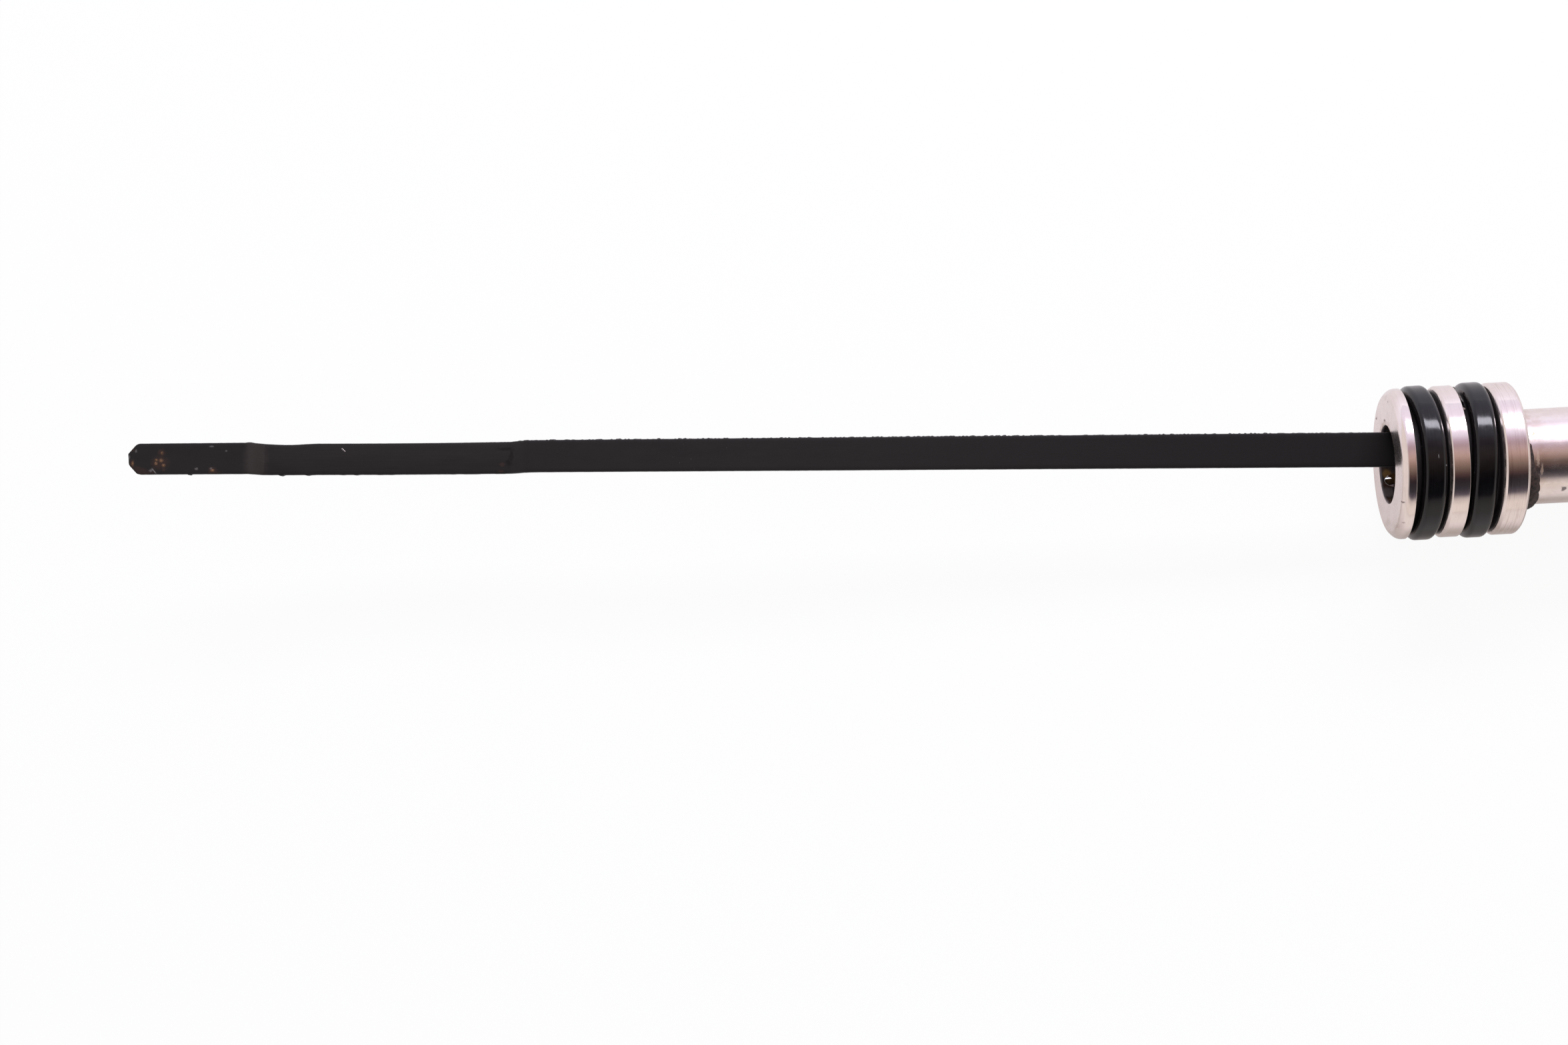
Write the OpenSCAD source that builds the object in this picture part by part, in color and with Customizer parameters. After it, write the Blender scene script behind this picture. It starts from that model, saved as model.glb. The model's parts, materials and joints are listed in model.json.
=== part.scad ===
// Engine oil dipstick: a joggled flat gauge blade that stands out of a turned plug with two
// O-rings, a neck tube brazed into the plug, and a plain moulded pull handle pinned into the
// tube together with the blade's root.
//
// Each piece is drawn along the plug's axis, with X running from the blade's tip to the
// handle, the blade's flat face up, and the origin on the axis in the middle of the plug's
// middle land. lay_down() then tips the whole dipstick onto its rear O-ring and the end bar
// of the handle, which is how it comes to rest.

/* [Gauge blade] */
// How far the blade's tip stands out of the plug's mouth
blade_reach = 172; // [120:1:240]
// Width of the blade
blade_w = 4.4; // [3.6:0.1:5]
// Thickness of the blade
blade_t = 1; // [0.6:0.1:1.4]
// Angle by which the blade leans sideways out of the plug's axis
blade_lean = 2.9; // [0:0.1:4]
// Flat length between the tip and the lower joggle
tip_flat_len = 17.4; // [8:0.2:30]
// Length of the lower joggle
lower_joggle_run = 2.1; // [1.8:0.1:6]
// Length of the sunk stretch between the joggles
sunk_len = 36; // [15:0.5:50]
// Length of the upper joggle
upper_joggle_run = 4; // [1.8:0.1:8]
// Depth of the sunk stretch below the rest of the blade
sunk_depth = 1.5; // [0.4:0.1:1.7]
// Length of the bevel at one corner of the tip
tip_bevel_len = 1.7; // [0.4:0.1:3]
// Width of the bevel at one corner of the tip
tip_bevel_w = 1.4; // [0.4:0.1:1.8]
// Slant of the tip's end edge, from the bevel to the rounded corner
tip_slant = 0.4; // [0:0.1:1.2]
// Radius of the rounded corner of the tip
tip_round_r = 1.4; // [0.4:0.1:1.7]

/* [Turned plug] */
// Radius of the lands, which locate the plug in its socket
land_r = 9.6; // [8.8:0.1:12]
// Radius of the bore through the plug and the tube
bore_r = 5; // [3.8:0.1:5.4]
// Length of the lead-in chamfer at the mouth
nose_chamfer_len = 0.75; // [0.3:0.05:1.5]
// Depth of the lead-in chamfer at the mouth
nose_chamfer_depth = 0.6; // [0.2:0.05:1.2]
// Length of the front land
front_land_len = 0.9; // [0.6:0.1:3]
// Length of the middle land
middle_land_len = 2.25; // [1.2:0.05:5]
// Length of the rear land
rear_land_len = 2.5; // [1.2:0.1:6]
// Width of each O-ring groove
groove_w = 4; // [3.6:0.1:5]
// Depth of each O-ring groove below the lands
groove_depth = 2.3; // [1.8:0.1:2.4]
// Small bevel on the front edges of the middle and rear lands
land_bevel = 0.35; // [0.1:0.05:0.5]
// Bevel on the plug's rear edge
rear_bevel = 0.5; // [0.2:0.1:1]

/* [O-rings] */
// Thickness of the O-ring cord
seal_cord = 3.1; // [2.8:0.1:3.3]
// How far the used O-rings still stand out of the lands
seal_stand_out = 0.22; // [0.1:0.02:0.3]
// How far each O-ring has crept from the middle of its groove towards the handle
seal_creep = 0.2; // [0:0.05:0.22]
// Gap between an O-ring and the floor of its groove
seal_gap = 0.02; // [0.01:0.01:0.05]

/* [Neck tube] */
// Wall of the neck tube
tube_wall = 1; // [0.6:0.1:1.4]
// How far the tube's end lies behind the plug's mouth
tube_reach = 60; // [50:0.5:90]
// How deep the tube sits in the back of the plug
tube_seat_depth = 6; // [3:0.5:7.5]
// Gap all round the tube in its seat, which the braze fills
seat_gap = 0.05; // [0.02:0.01:0.1]

/* [Braze bead] */
// Length of the bead along the tube
bead_run = 2.6; // [1:0.1:3.5]
// Height of the bead above the tube, averaged round the tube
bead_rise = 0.25; // [0.15:0.05:0.5]
// How far the bead has sagged towards one side
bead_sag = 0.5; // [0.2:0.05:0.6]
// Taper of the bead from the plug's back to its toe
bead_taper = 0.75; // [0.7:0.05:1]

/* [Pull handle] */
// Outside width of the handle's loop
loop_w = 46; // [38:1:60]
// Outside length of the handle's loop
loop_len = 40; // [34:1:60]
// Width of the loop's bars
bar_w = 8; // [6.5:0.5:10]
// Thickness of the loop's bars
bar_t = 9; // [6.5:0.5:11]
// Radius that rounds the bars' long edges
bar_round_r = 3; // [1:0.25:3.1]
// Radius of the loop's corners along the middle of the bars
corner_r = 6; // [5.2:0.2:8]
// How far the collar that closes the tube stands out of it
collar_lip = 0.5; // [0.2:0.1:0.7]
// Length of the collar
collar_len = 4; // [2:0.5:8]
// Length of the neck that tapers from the collar to the loop
neck_len = 6; // [3:0.5:12]
// How much slimmer than half a bar the neck ends
neck_step = 0.5; // [0.25:0.25:1]
// Length of the handle's spigot inside the tube
spigot_len = 28; // [16:1:34]
// Gap round the spigot in the tube
spigot_gap = 0.05; // [0.02:0.01:0.1]
// Gap round the blade's root in the spigot's slot
slot_gap = 0.05; // [0.03:0.01:0.1]

/* [Cross pin] */
// Radius of the pin that holds the tube, the handle and the blade together
pin_r = 1; // [0.7:0.1:1.2]
// Gap round the pin
pin_gap = 0.02; // [0.01:0.01:0.04]
// Distance from the spigot's inner end to the pin
pin_inset = 5.5; // [4:0.5:7]

/* [Hidden] */
$fn = 96;

cut = 1; // overshoot of cutting shapes
bend_steps = 8; // flats that make up each bend of a joggle

// The plug's layout along its axis
middle_land_start = -middle_land_len / 2;
rear_groove_start = middle_land_len / 2;
rear_land_start = rear_groove_start + groove_w;
rear_land_end = rear_land_start + rear_land_len;
plug_back = rear_land_end + rear_bevel;
front_groove_start = middle_land_start - groove_w;
front_land_start = front_groove_start - front_land_len;
mouth = front_land_start - nose_chamfer_len;
groove_floor_r = land_r - groove_depth;

// The O-rings, flattened between the groove's floor and the socket they were pressed into
seal_outer_r = land_r + seal_stand_out;
seal_inner_r = groove_floor_r + seal_gap;
seal_middle_r = (seal_outer_r + seal_inner_r) / 2;
seal_flat_half = sqrt(pow(seal_cord / 2, 2) - pow(seal_outer_r - seal_middle_r, 2));
front_seal_x = front_groove_start + groove_w / 2 + seal_creep;
rear_seal_x = rear_groove_start + groove_w / 2 + seal_creep;

// The tube, the spigot inside it and the pin across both
tube_r = bore_r + tube_wall;
tube_start = plug_back - tube_seat_depth;
tube_end = mouth + tube_reach;
collar_r = tube_r + collar_lip;
spigot_start = tube_end - spigot_len;
pin_x = spigot_start + pin_inset;
slot_half_len = pin_inset;
slot_w = blade_w / cos(blade_lean) + 2 * slot_half_len * tan(blade_lean) + 2 * slot_gap;

// The blade's lengths from the pin, along the blade itself
tip_len = (pin_x - mouth + blade_reach) / cos(blade_lean);
root_len = slot_half_len - slot_gap - blade_w / 2 * sin(blade_lean);
lower_joggle = -tip_len + tip_flat_len;
sunk_start = lower_joggle + lower_joggle_run;
sunk_end = sunk_start + sunk_len;

// The handle's neck and loop
neck_start = tube_end + collar_len;
neck_r = bar_t / 2 - neck_step;
loop_start = neck_start + neck_len;
near_bar = loop_start + bar_w / 2;
far_bar = loop_start + loop_len - bar_w / 2;
side_bar = loop_w / 2 - bar_w / 2;

// How the dipstick lies: the flat of the rear O-ring and the rounded lower edge of the far bar
// touch the ground together
rest_base = loop_start + loop_len - bar_round_r - rear_seal_x - seal_flat_half;
rest_drop = seal_outer_r - bar_t / 2 + bar_round_r;
rest_pitch = atan2(rest_drop, rest_base) - asin(bar_round_r / norm([rest_base, rest_drop]));

module lay_down() rotate([0, rest_pitch, 0]) children();

// A profile of [radius, place along the axis] turned round the plug's axis
module turned(profile) rotate([0, 90, 0]) rotate_extrude() polygon(profile);

module rod(r, from, to) translate([from, 0, 0]) rotate([0, 90, 0]) cylinder(h = to - from, r = r);

// Points of one bend of a joggle, on the side of the blade that lies "side" above its middle
function bend(run, depth, side, t) =
    let (
        turn = 2 * atan2(depth, run),
        r = run / (2 * sin(turn)),
        second = t > 0.5,
        a = turn * (second ? 2 - 2 * t : 2 * t),
        x = r * sin(a),
        z = -r * (1 - cos(a))
    )
    second
        ? [run - x + side * sin(a), -depth - z + side * cos(a)]
        : [x + side * sin(a), z + side * cos(a)];

// One face of the blade from the tip to the root, seen from the side
function blade_face(side) = concat(
    [[-tip_len - cut, side]],
    [for (i = [0:bend_steps]) [lower_joggle, 0] + bend(lower_joggle_run, sunk_depth, side, i / bend_steps)],
    [for (i = [bend_steps:-1:0])
        let (p = bend(upper_joggle_run, sunk_depth, side, i / bend_steps))
        [sunk_end + upper_joggle_run - p.x, p.y]],
    [[root_len + cut, side]]
);

module blade_side_view() {
    upper = blade_face(blade_t / 2);
    lower = blade_face(-blade_t / 2);
    polygon(concat(upper, [for (i = [len(lower) - 1:-1:0]) lower[i]]));
}

module blade_top_view() {
    half = blade_w / 2;
    round_at = [-tip_len + tip_slant + tip_round_r, -half + tip_round_r];
    polygon(concat(
        [
            [root_len, half],
            [-tip_len + tip_bevel_len, half],
            [-tip_len, half - tip_bevel_w]
        ],
        [for (a = [180:10:270]) round_at + tip_round_r * [cos(a), sin(a)]],
        [[root_len, -half]]
    ));
}

module blade() color("#262424") lay_down()
    translate([pin_x, 0, 0]) rotate([0, 0, -blade_lean]) difference() {
        intersection() {
            translate([0, 0, -sunk_depth - blade_t])
                linear_extrude(sunk_depth + 2 * blade_t) blade_top_view();
            rotate([90, 0, 0])
                linear_extrude(blade_w + 2 * cut, center = true) blade_side_view();
        }
        cylinder(h = blade_t + cut, r = pin_r + pin_gap, center = true);
    }

module plug() color("#dccfc8") lay_down() turned([
    [bore_r, mouth],
    [land_r - nose_chamfer_depth, mouth],
    [land_r, front_land_start],
    [land_r, front_groove_start],
    [groove_floor_r, front_groove_start],
    [groove_floor_r, middle_land_start],
    [land_r - land_bevel, middle_land_start],
    [land_r, middle_land_start + land_bevel],
    [land_r, rear_groove_start],
    [groove_floor_r, rear_groove_start],
    [groove_floor_r, rear_land_start],
    [land_r - land_bevel, rear_land_start],
    [land_r, rear_land_start + land_bevel],
    [land_r, rear_land_end],
    [land_r - rear_bevel, plug_back],
    [tube_r + seat_gap, plug_back],
    [tube_r + seat_gap, tube_start - seat_gap],
    [bore_r, tube_start - seat_gap]
]);

module o_ring(x) color("#151416") lay_down() translate([x, 0, 0]) rotate([0, 90, 0])
    rotate_extrude() translate([seal_middle_r, 0]) intersection() {
        circle(d = seal_cord);
        square([seal_outer_r - seal_inner_r, seal_cord], center = true);
    }

module front_o_ring() o_ring(front_seal_x);

module rear_o_ring() o_ring(rear_seal_x);

module pin_hole() translate([pin_x, 0, 0])
    cylinder(h = 2 * (tube_r + cut), r = pin_r + pin_gap, center = true);

module neck_tube() color("#d8ccc4") lay_down() difference() {
    rod(tube_r, tube_start, tube_end);
    rod(bore_r, tube_start - cut, tube_end + cut);
    pin_hole();
}

// The bead is a cone that sits off centre, so it is thick below the tube and runs out above it
module braze_bead() color("#3a2c2a") lay_down() difference() {
    translate([plug_back, -bead_sag, 0]) rotate([0, 90, 0])
        cylinder(h = bead_run, r1 = tube_r + bead_rise, r2 = tube_r + bead_rise - bead_taper);
    rod(tube_r, plug_back - cut, plug_back + bead_run + cut);
}

module bar_section() {
    square([bar_w, bar_t - 2 * bar_round_r], center = true);
    square([bar_w - 2 * bar_round_r, bar_t], center = true);
    for (x = [-1, 1], y = [-1, 1])
        translate([x * (bar_w / 2 - bar_round_r), y * (bar_t / 2 - bar_round_r)])
            circle(bar_round_r);
}

module bar(from, to, turn) translate(from) rotate([90, 0, turn])
    linear_extrude(norm(to - from)) bar_section();

module pull_loop() {
    for (side = [-1, 1]) {
        bar([far_bar - corner_r, side * side_bar, 0], [near_bar + corner_r, side * side_bar, 0], -90);
        for (end = [[near_bar, 1], [far_bar, -1]])
            translate([end[0] + end[1] * corner_r, side * (side_bar - corner_r), 0])
                rotate([0, 0, end[1] > 0 ? (side > 0 ? 90 : 180) : (side > 0 ? 0 : 270)])
                    rotate_extrude(angle = 90) translate([corner_r, 0]) bar_section();
    }
    for (x = [near_bar, far_bar])
        bar([x, side_bar - corner_r, 0], [x, corner_r - side_bar, 0], 0);
}

module pull_handle() color("#1d1d1f") lay_down() difference() {
    union() {
        rod(bore_r - spigot_gap, spigot_start, tube_end + cut);
        rod(collar_r, tube_end, neck_start);
        translate([neck_start, 0, 0]) rotate([0, 90, 0])
            cylinder(h = neck_len, r1 = collar_r, r2 = neck_r);
        rod(neck_r, neck_start, near_bar);
        pull_loop();
    }
    translate([spigot_start - cut, -slot_w / 2, -blade_t / 2 - slot_gap])
        cube([2 * slot_half_len + cut, slot_w, blade_t + 2 * slot_gap]);
    pin_hole();
}

module cross_pin() color("#8d8a88") lay_down() translate([pin_x, 0, 0])
    cylinder(h = 2 * tube_r, r = pin_r, center = true);

blade();
plug();
front_o_ring();
rear_o_ring();
neck_tube();
braze_bead();
pull_handle();
cross_pin();
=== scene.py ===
"""Looks of a used engine oil dipstick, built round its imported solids.

Lengths here are millimetres in the plug's own frame, unless a name says otherwise. X runs along
the plug's axis from the blade's tip to the handle, Z stands up from the blade's flat face, and
the origin is on the axis in the middle of the plug's middle land. Lay turns such points into
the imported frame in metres.
"""
from __future__ import annotations

import json
import logging
import math
from dataclasses import dataclass
from enum import Enum
from functools import reduce
from typing import Any, Sequence, Union

import bmesh
import bpy
import numpy as np
from mathutils import Matrix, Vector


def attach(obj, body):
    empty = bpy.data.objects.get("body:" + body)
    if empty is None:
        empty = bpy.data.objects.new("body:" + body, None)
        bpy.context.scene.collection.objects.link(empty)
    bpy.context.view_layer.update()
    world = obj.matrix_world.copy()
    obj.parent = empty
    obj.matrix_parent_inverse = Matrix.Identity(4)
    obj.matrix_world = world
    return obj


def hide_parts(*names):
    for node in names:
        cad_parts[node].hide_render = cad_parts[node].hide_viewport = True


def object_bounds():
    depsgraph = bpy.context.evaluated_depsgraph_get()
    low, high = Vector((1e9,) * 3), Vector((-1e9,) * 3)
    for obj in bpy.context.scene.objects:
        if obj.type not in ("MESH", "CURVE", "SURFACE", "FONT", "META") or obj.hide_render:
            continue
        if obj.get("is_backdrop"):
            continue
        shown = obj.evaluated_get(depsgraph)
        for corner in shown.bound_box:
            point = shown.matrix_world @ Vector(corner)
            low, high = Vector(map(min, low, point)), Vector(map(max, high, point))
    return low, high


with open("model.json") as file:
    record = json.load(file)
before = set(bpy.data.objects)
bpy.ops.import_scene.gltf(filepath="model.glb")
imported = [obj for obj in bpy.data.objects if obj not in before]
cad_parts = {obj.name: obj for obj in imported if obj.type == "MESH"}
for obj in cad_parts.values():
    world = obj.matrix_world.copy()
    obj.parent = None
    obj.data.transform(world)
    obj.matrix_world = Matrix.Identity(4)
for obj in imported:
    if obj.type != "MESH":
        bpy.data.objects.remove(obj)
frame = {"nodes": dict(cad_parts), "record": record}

MM = 0.001
FLOOR_GAP = 0.02 * MM
BODY = "root"
MOUNT = "block_spigot"
PHOTO_WIDTH = 2352

Colour = tuple[float, float, float]
Point = tuple[float, float, float]
# Each patch of a pattern is its middle and its half size along each axis
Patches = tuple[tuple[Point, Point], ...]
log = logging.getLogger("dipstick")


class Slot(Enum):
    """The record's material slots."""

    BLACKENED = "blackened_steel"
    TURNED = "turned_aluminium"
    RUBBER = "seal_rubber"
    TUBE = "tube_aluminium"
    BRAZE = "braze"
    PLASTIC = "handle_plastic"
    PIN = "pin_steel"


# Frames and meshes

@dataclass(frozen=True)
class Lay:
    """How the dipstick lies: the plug's frame tipped about Y by a pitch in radians."""

    pitch: float

    @classmethod
    def packed(cls, record: dict[str, Any]) -> Lay:
        """Reads the pitch from the axis of the plug's mount, which points out of the mouth."""
        axis = next(m["axis"] for m in record["mounts"] if m["name"] == MOUNT)
        return cls(math.atan2(axis[2], -axis[0]))

    def turn(self) -> np.ndarray:
        """The 3 x 3 matrix from the plug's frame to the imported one."""
        c, s = math.cos(self.pitch), math.sin(self.pitch)
        return np.array([[c, 0.0, s], [0.0, 1.0, 0.0], [-s, 0.0, c]])

    def place(self, points: np.ndarray) -> np.ndarray:
        """Points of the plug's frame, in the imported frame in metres."""
        return points @ self.turn().T * MM


@dataclass(frozen=True)
class Bearings:
    """A local frame that a pattern is drawn in: its origin and turn, in the plug's frame.

    A point p of the local frame lies at origin + Rz(yaw) p.
    """

    origin: Point = (0.0, 0.0, 0.0)
    yaw: float = 0.0

    def turn(self) -> np.ndarray:
        """The 3 x 3 matrix of the yaw, in radians about Z."""
        c, s = math.cos(self.yaw), math.sin(self.yaw)
        return np.array([[c, -s, 0.0], [s, c, 0.0], [0.0, 0.0, 1.0]])

    def place(self, points: np.ndarray) -> np.ndarray:
        """Points of the local frame, in the plug's frame."""
        return points @ self.turn().T + np.array(self.origin)


@dataclass
class Shell:
    """A mesh: its points in the plug's frame and its four-cornered faces."""

    points: np.ndarray
    quads: np.ndarray

    @classmethod
    def lofted(cls, rows: np.ndarray, wrap_rows: bool = False) -> Shell:
        """Joins a grid of points into faces, with each row closed on itself.

        Args:
            rows: Points of shape (rows, points in a row, 3).
            wrap_rows: Joins the last row to the first.

        Returns:
            The shell, with each point of the grid joined to its neighbours.
        """
        count, width = rows.shape[:2]
        index = np.arange(count * width).reshape(count, width)
        if wrap_rows:
            index = np.vstack([index, index[:1]])
        index = np.hstack([index, index[:, :1]])
        corners = (index[:-1, :-1], index[1:, :-1], index[1:, 1:], index[:-1, 1:])
        return cls(rows.reshape(-1, 3), np.stack(corners, axis=-1).reshape(-1, 4))

    def __add__(self, other: Shell) -> Shell:
        """Both shells as one."""
        quads = np.vstack([self.quads, other.quads + len(self.points)])
        return Shell(np.vstack([self.points, other.points]), quads)


def around(x: np.ndarray, radius: np.ndarray, angle: np.ndarray) -> np.ndarray:
    """The points (x, r cos a, r sin a) round the plug's axis, from arrays that broadcast."""
    return np.stack(np.broadcast_arrays(x, radius * np.cos(angle), radius * np.sin(angle)), axis=-1)


def turned(profile: np.ndarray, steps: int) -> Shell:
    """A closed profile, of (place along the axis, radius) rows, carried round the plug's axis."""
    angle = np.linspace(0.0, 2.0 * np.pi, steps, endpoint=False)[:, None]
    return Shell.lofted(around(profile[:, 0], profile[:, 1], angle), wrap_rows=True)


def rounded(corners: Sequence[tuple[float, float, float]], spacing: float,
            steps: int = 5) -> np.ndarray:
    """A closed outline with an arc in each corner.

    Args:
        corners: (x, y, radius of the arc) of each corner, in order.
        spacing: Longest gap between the points of a straight stretch.
        steps: Points in each arc.

    Returns:
        The outline's points. Each arc touches both sides of its corner, at radius times the
        tangent of half the turn from it.
    """
    spots = np.array([c[:2] for c in corners])
    found = []
    for i, (_, _, radius) in enumerate(corners):
        here = spots[i]
        back = spots[i - 1] - here
        ahead = spots[(i + 1) % len(spots)] - here
        back /= np.linalg.norm(back)
        ahead /= np.linalg.norm(ahead)
        half = math.acos(np.clip(back @ ahead, -1.0, 1.0)) / 2.0
        reach = radius / math.tan(half)
        start, end = here + back * reach, here + ahead * reach
        centre = here + (back + ahead) / np.linalg.norm(back + ahead) * radius / math.sin(half)
        t = np.linspace(0.0, 1.0, steps)[:, None]
        arc = start * (1.0 - t) + end * t - centre
        found.append(centre + arc / np.linalg.norm(arc, axis=1, keepdims=True) * radius)
    whole = []
    for i, arc in enumerate(found):
        gap = found[(i + 1) % len(found)][0] - arc[-1]
        count = max(1, math.ceil(np.linalg.norm(gap) / spacing))
        whole.append(arc)
        whole.append(arc[-1] + gap * (np.arange(1, count) / count)[:, None])
    return np.vstack(whole)


def ragged(along: np.ndarray, pitch: float, seed: int) -> np.ndarray:
    """A random line from 0 to 1, through knots that are joined by half waves of a cosine.

    Args:
        along: The places to read it at.
        pitch: The gap between its knots.
        seed: Chooses the knots.

    Returns:
        Its height at each place.
    """
    count = 8192
    knots = np.random.default_rng(seed).random(count)
    place = along / pitch + count / 2.0
    low = np.floor(place).astype(int)
    t = (1.0 - np.cos(np.pi * (place - low))) / 2.0
    return knots[low % count] * (1.0 - t) + knots[(low + 1) % count] * t


def wander(angle: np.ndarray, waves: int, seed: int) -> np.ndarray:
    """A closed random curve of the angle: a sum of sines.

    Args:
        angle: The angles to read it at, in radians.
        waves: The most waves in a turn. The sines have 1 up to this many.
        seed: Chooses the sines' heights and shifts.

    Returns:
        Its height at each angle, mostly from -1 to 1.
    """
    rng = np.random.default_rng(seed)
    total = np.zeros_like(angle)
    for n in range(1, waves + 1):
        total = total + rng.uniform(0.4, 1.0) * np.sin(n * angle + rng.uniform(0.0, 2.0 * np.pi))
    return total / math.sqrt(waves)


def bump_at(place: np.ndarray, middle: float, half_width: float) -> np.ndarray:
    """A smooth hump from 0 to 1: (1 - u squared) squared, with u the place in half widths."""
    u = np.clip((place - middle) / half_width, -1.0, 1.0)
    return (1.0 - u * u) ** 2


def fade(place: np.ndarray, start: float, end: float) -> np.ndarray:
    """0 at the start and 1 at the end, straight between them and held past them."""
    return np.clip((place - start) / (end - start), 0.0, 1.0)


def smoothed(ring: np.ndarray, times: int) -> np.ndarray:
    """A closed row of values, each averaged with its two neighbours, so many times over."""
    for _ in range(times):
        ring = (np.roll(ring, 1, axis=0) + 2.0 * ring + np.roll(ring, -1, axis=0)) / 4.0
    return ring


def linked(name: str, data: bpy.types.ID) -> bpy.types.Object:
    """Puts a new object in the scene.

    Args:
        name: Its name.
        data: Its mesh, lamp or camera.

    Returns:
        The object.
    """
    made = bpy.data.objects.new(name, data)
    bpy.context.scene.collection.objects.link(made)
    return made


@dataclass
class Workshop:
    """Turns shells into pieces that ride on the body and carry a finish."""

    lay: Lay
    merge_gap: float = 1e-7
    hole_steps: int = 64

    def mesh(self, name: str, shell: Shell) -> bpy.types.Mesh:
        """Makes a mesh, with its doubles merged and its faces pointing outwards.

        Args:
            name: Its name.
            shell: Its points and faces, in the plug's frame.

        Returns:
            The mesh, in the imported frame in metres.
        """
        made = bpy.data.meshes.new(name)
        made.from_pydata(self.lay.place(shell.points).tolist(), [], shell.quads.tolist())
        work = bmesh.new()
        work.from_mesh(made)
        bmesh.ops.remove_doubles(work, verts=work.verts, dist=self.merge_gap)
        bmesh.ops.dissolve_degenerate(work, edges=work.edges, dist=self.merge_gap / 10.0)
        bmesh.ops.recalc_face_normals(work, faces=work.faces)
        work.to_mesh(made)
        work.free()
        return made

    def piece(self, name: str, shell: Shell, finish: bpy.types.Material, slot: Slot,
              stands_for: Sequence[str] = ()) -> bpy.types.Object:
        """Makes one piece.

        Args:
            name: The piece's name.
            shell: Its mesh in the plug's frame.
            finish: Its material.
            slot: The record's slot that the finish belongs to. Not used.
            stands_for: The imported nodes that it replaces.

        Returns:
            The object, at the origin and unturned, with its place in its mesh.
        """
        mesh = self.mesh(name, shell)
        mesh.polygons.foreach_set("use_smooth", np.ones(len(mesh.polygons), bool))
        mesh.materials.append(finish)
        made = linked(name, mesh)
        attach(made, BODY)
        if stands_for:
            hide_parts(*stands_for)
        log.info("%s: %d faces, %s", name, len(mesh.polygons), finish.name)
        return made

    def dress(self, node: str, finish: bpy.types.Material) -> None:
        """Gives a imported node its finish.

        Args:
            node: The node's name.
            finish: Its material.
        """
        kept = frame["nodes"][node]
        kept.data.materials.clear()
        kept.data.materials.append(finish)
        log.info("%s: packed node, %s", node, finish.name)

    def settle(self, piece: bpy.types.Object) -> None:
        """Applies a piece's modifiers.

        Args:
            piece: The piece, whose mesh is replaced by the finished one.
        """
        seen = piece.evaluated_get(bpy.context.evaluated_depsgraph_get())
        done = bpy.data.meshes.new_from_object(seen)
        piece.modifiers.clear()
        piece.data = done

    def cut(self, piece: bpy.types.Object, shell: Shell) -> None:
        """Takes a closed shell out of a piece.

        Args:
            piece: The piece to cut.
            shell: The cutter, in the plug's frame.
        """
        tool = linked("cutter", self.mesh("cutter", shell))
        cut = piece.modifiers.new("cut", "BOOLEAN")
        cut.operation = "DIFFERENCE"
        cut.solver = "EXACT"
        cut.object = tool
        self.settle(piece)
        bpy.data.objects.remove(tool)

    def drill(self, piece: bpy.types.Object, centre: Point, radius: float, depth: float) -> None:
        """Cuts a round hole along Z of the plug's frame.

        Args:
            piece: The piece to drill.
            centre: The hole's middle.
            radius: Its radius.
            depth: How far it goes up and down from its middle.
        """
        angle = np.linspace(0.0, 2.0 * np.pi, self.hole_steps, endpoint=False)
        level = np.array([-depth, -depth, depth, depth])[:, None] + 0.0 * angle
        reach = np.array([0.0, radius, radius, 0.0])[:, None]
        points = np.stack([reach * np.cos(angle), reach * np.sin(angle), level], axis=-1)
        self.cut(piece, Shell.lofted(np.array(centre) + points))

    def mill(self, piece: bpy.types.Object, low: Point, high: Point) -> None:
        """Cuts a square slot.

        Args:
            piece: The piece to mill.
            low: The slot's lowest corner.
            high: Its highest corner.
        """
        (x0, y0, z0), (x1, y1, z1) = low, high
        middle = ((y0 + y1) / 2.0, (z0 + z1) / 2.0)
        ring = np.array([(y0, z0), (y1, z0), (y1, z1), (y0, z1)])
        point = np.broadcast_to(middle, (4, 2))
        rows = [np.column_stack([np.full(4, x), yz])
                for x, yz in ((x0, point), (x0, ring), (x1, ring), (x1, point))]
        self.cut(piece, Shell.lofted(np.stack(rows)))


# Shader sums

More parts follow.
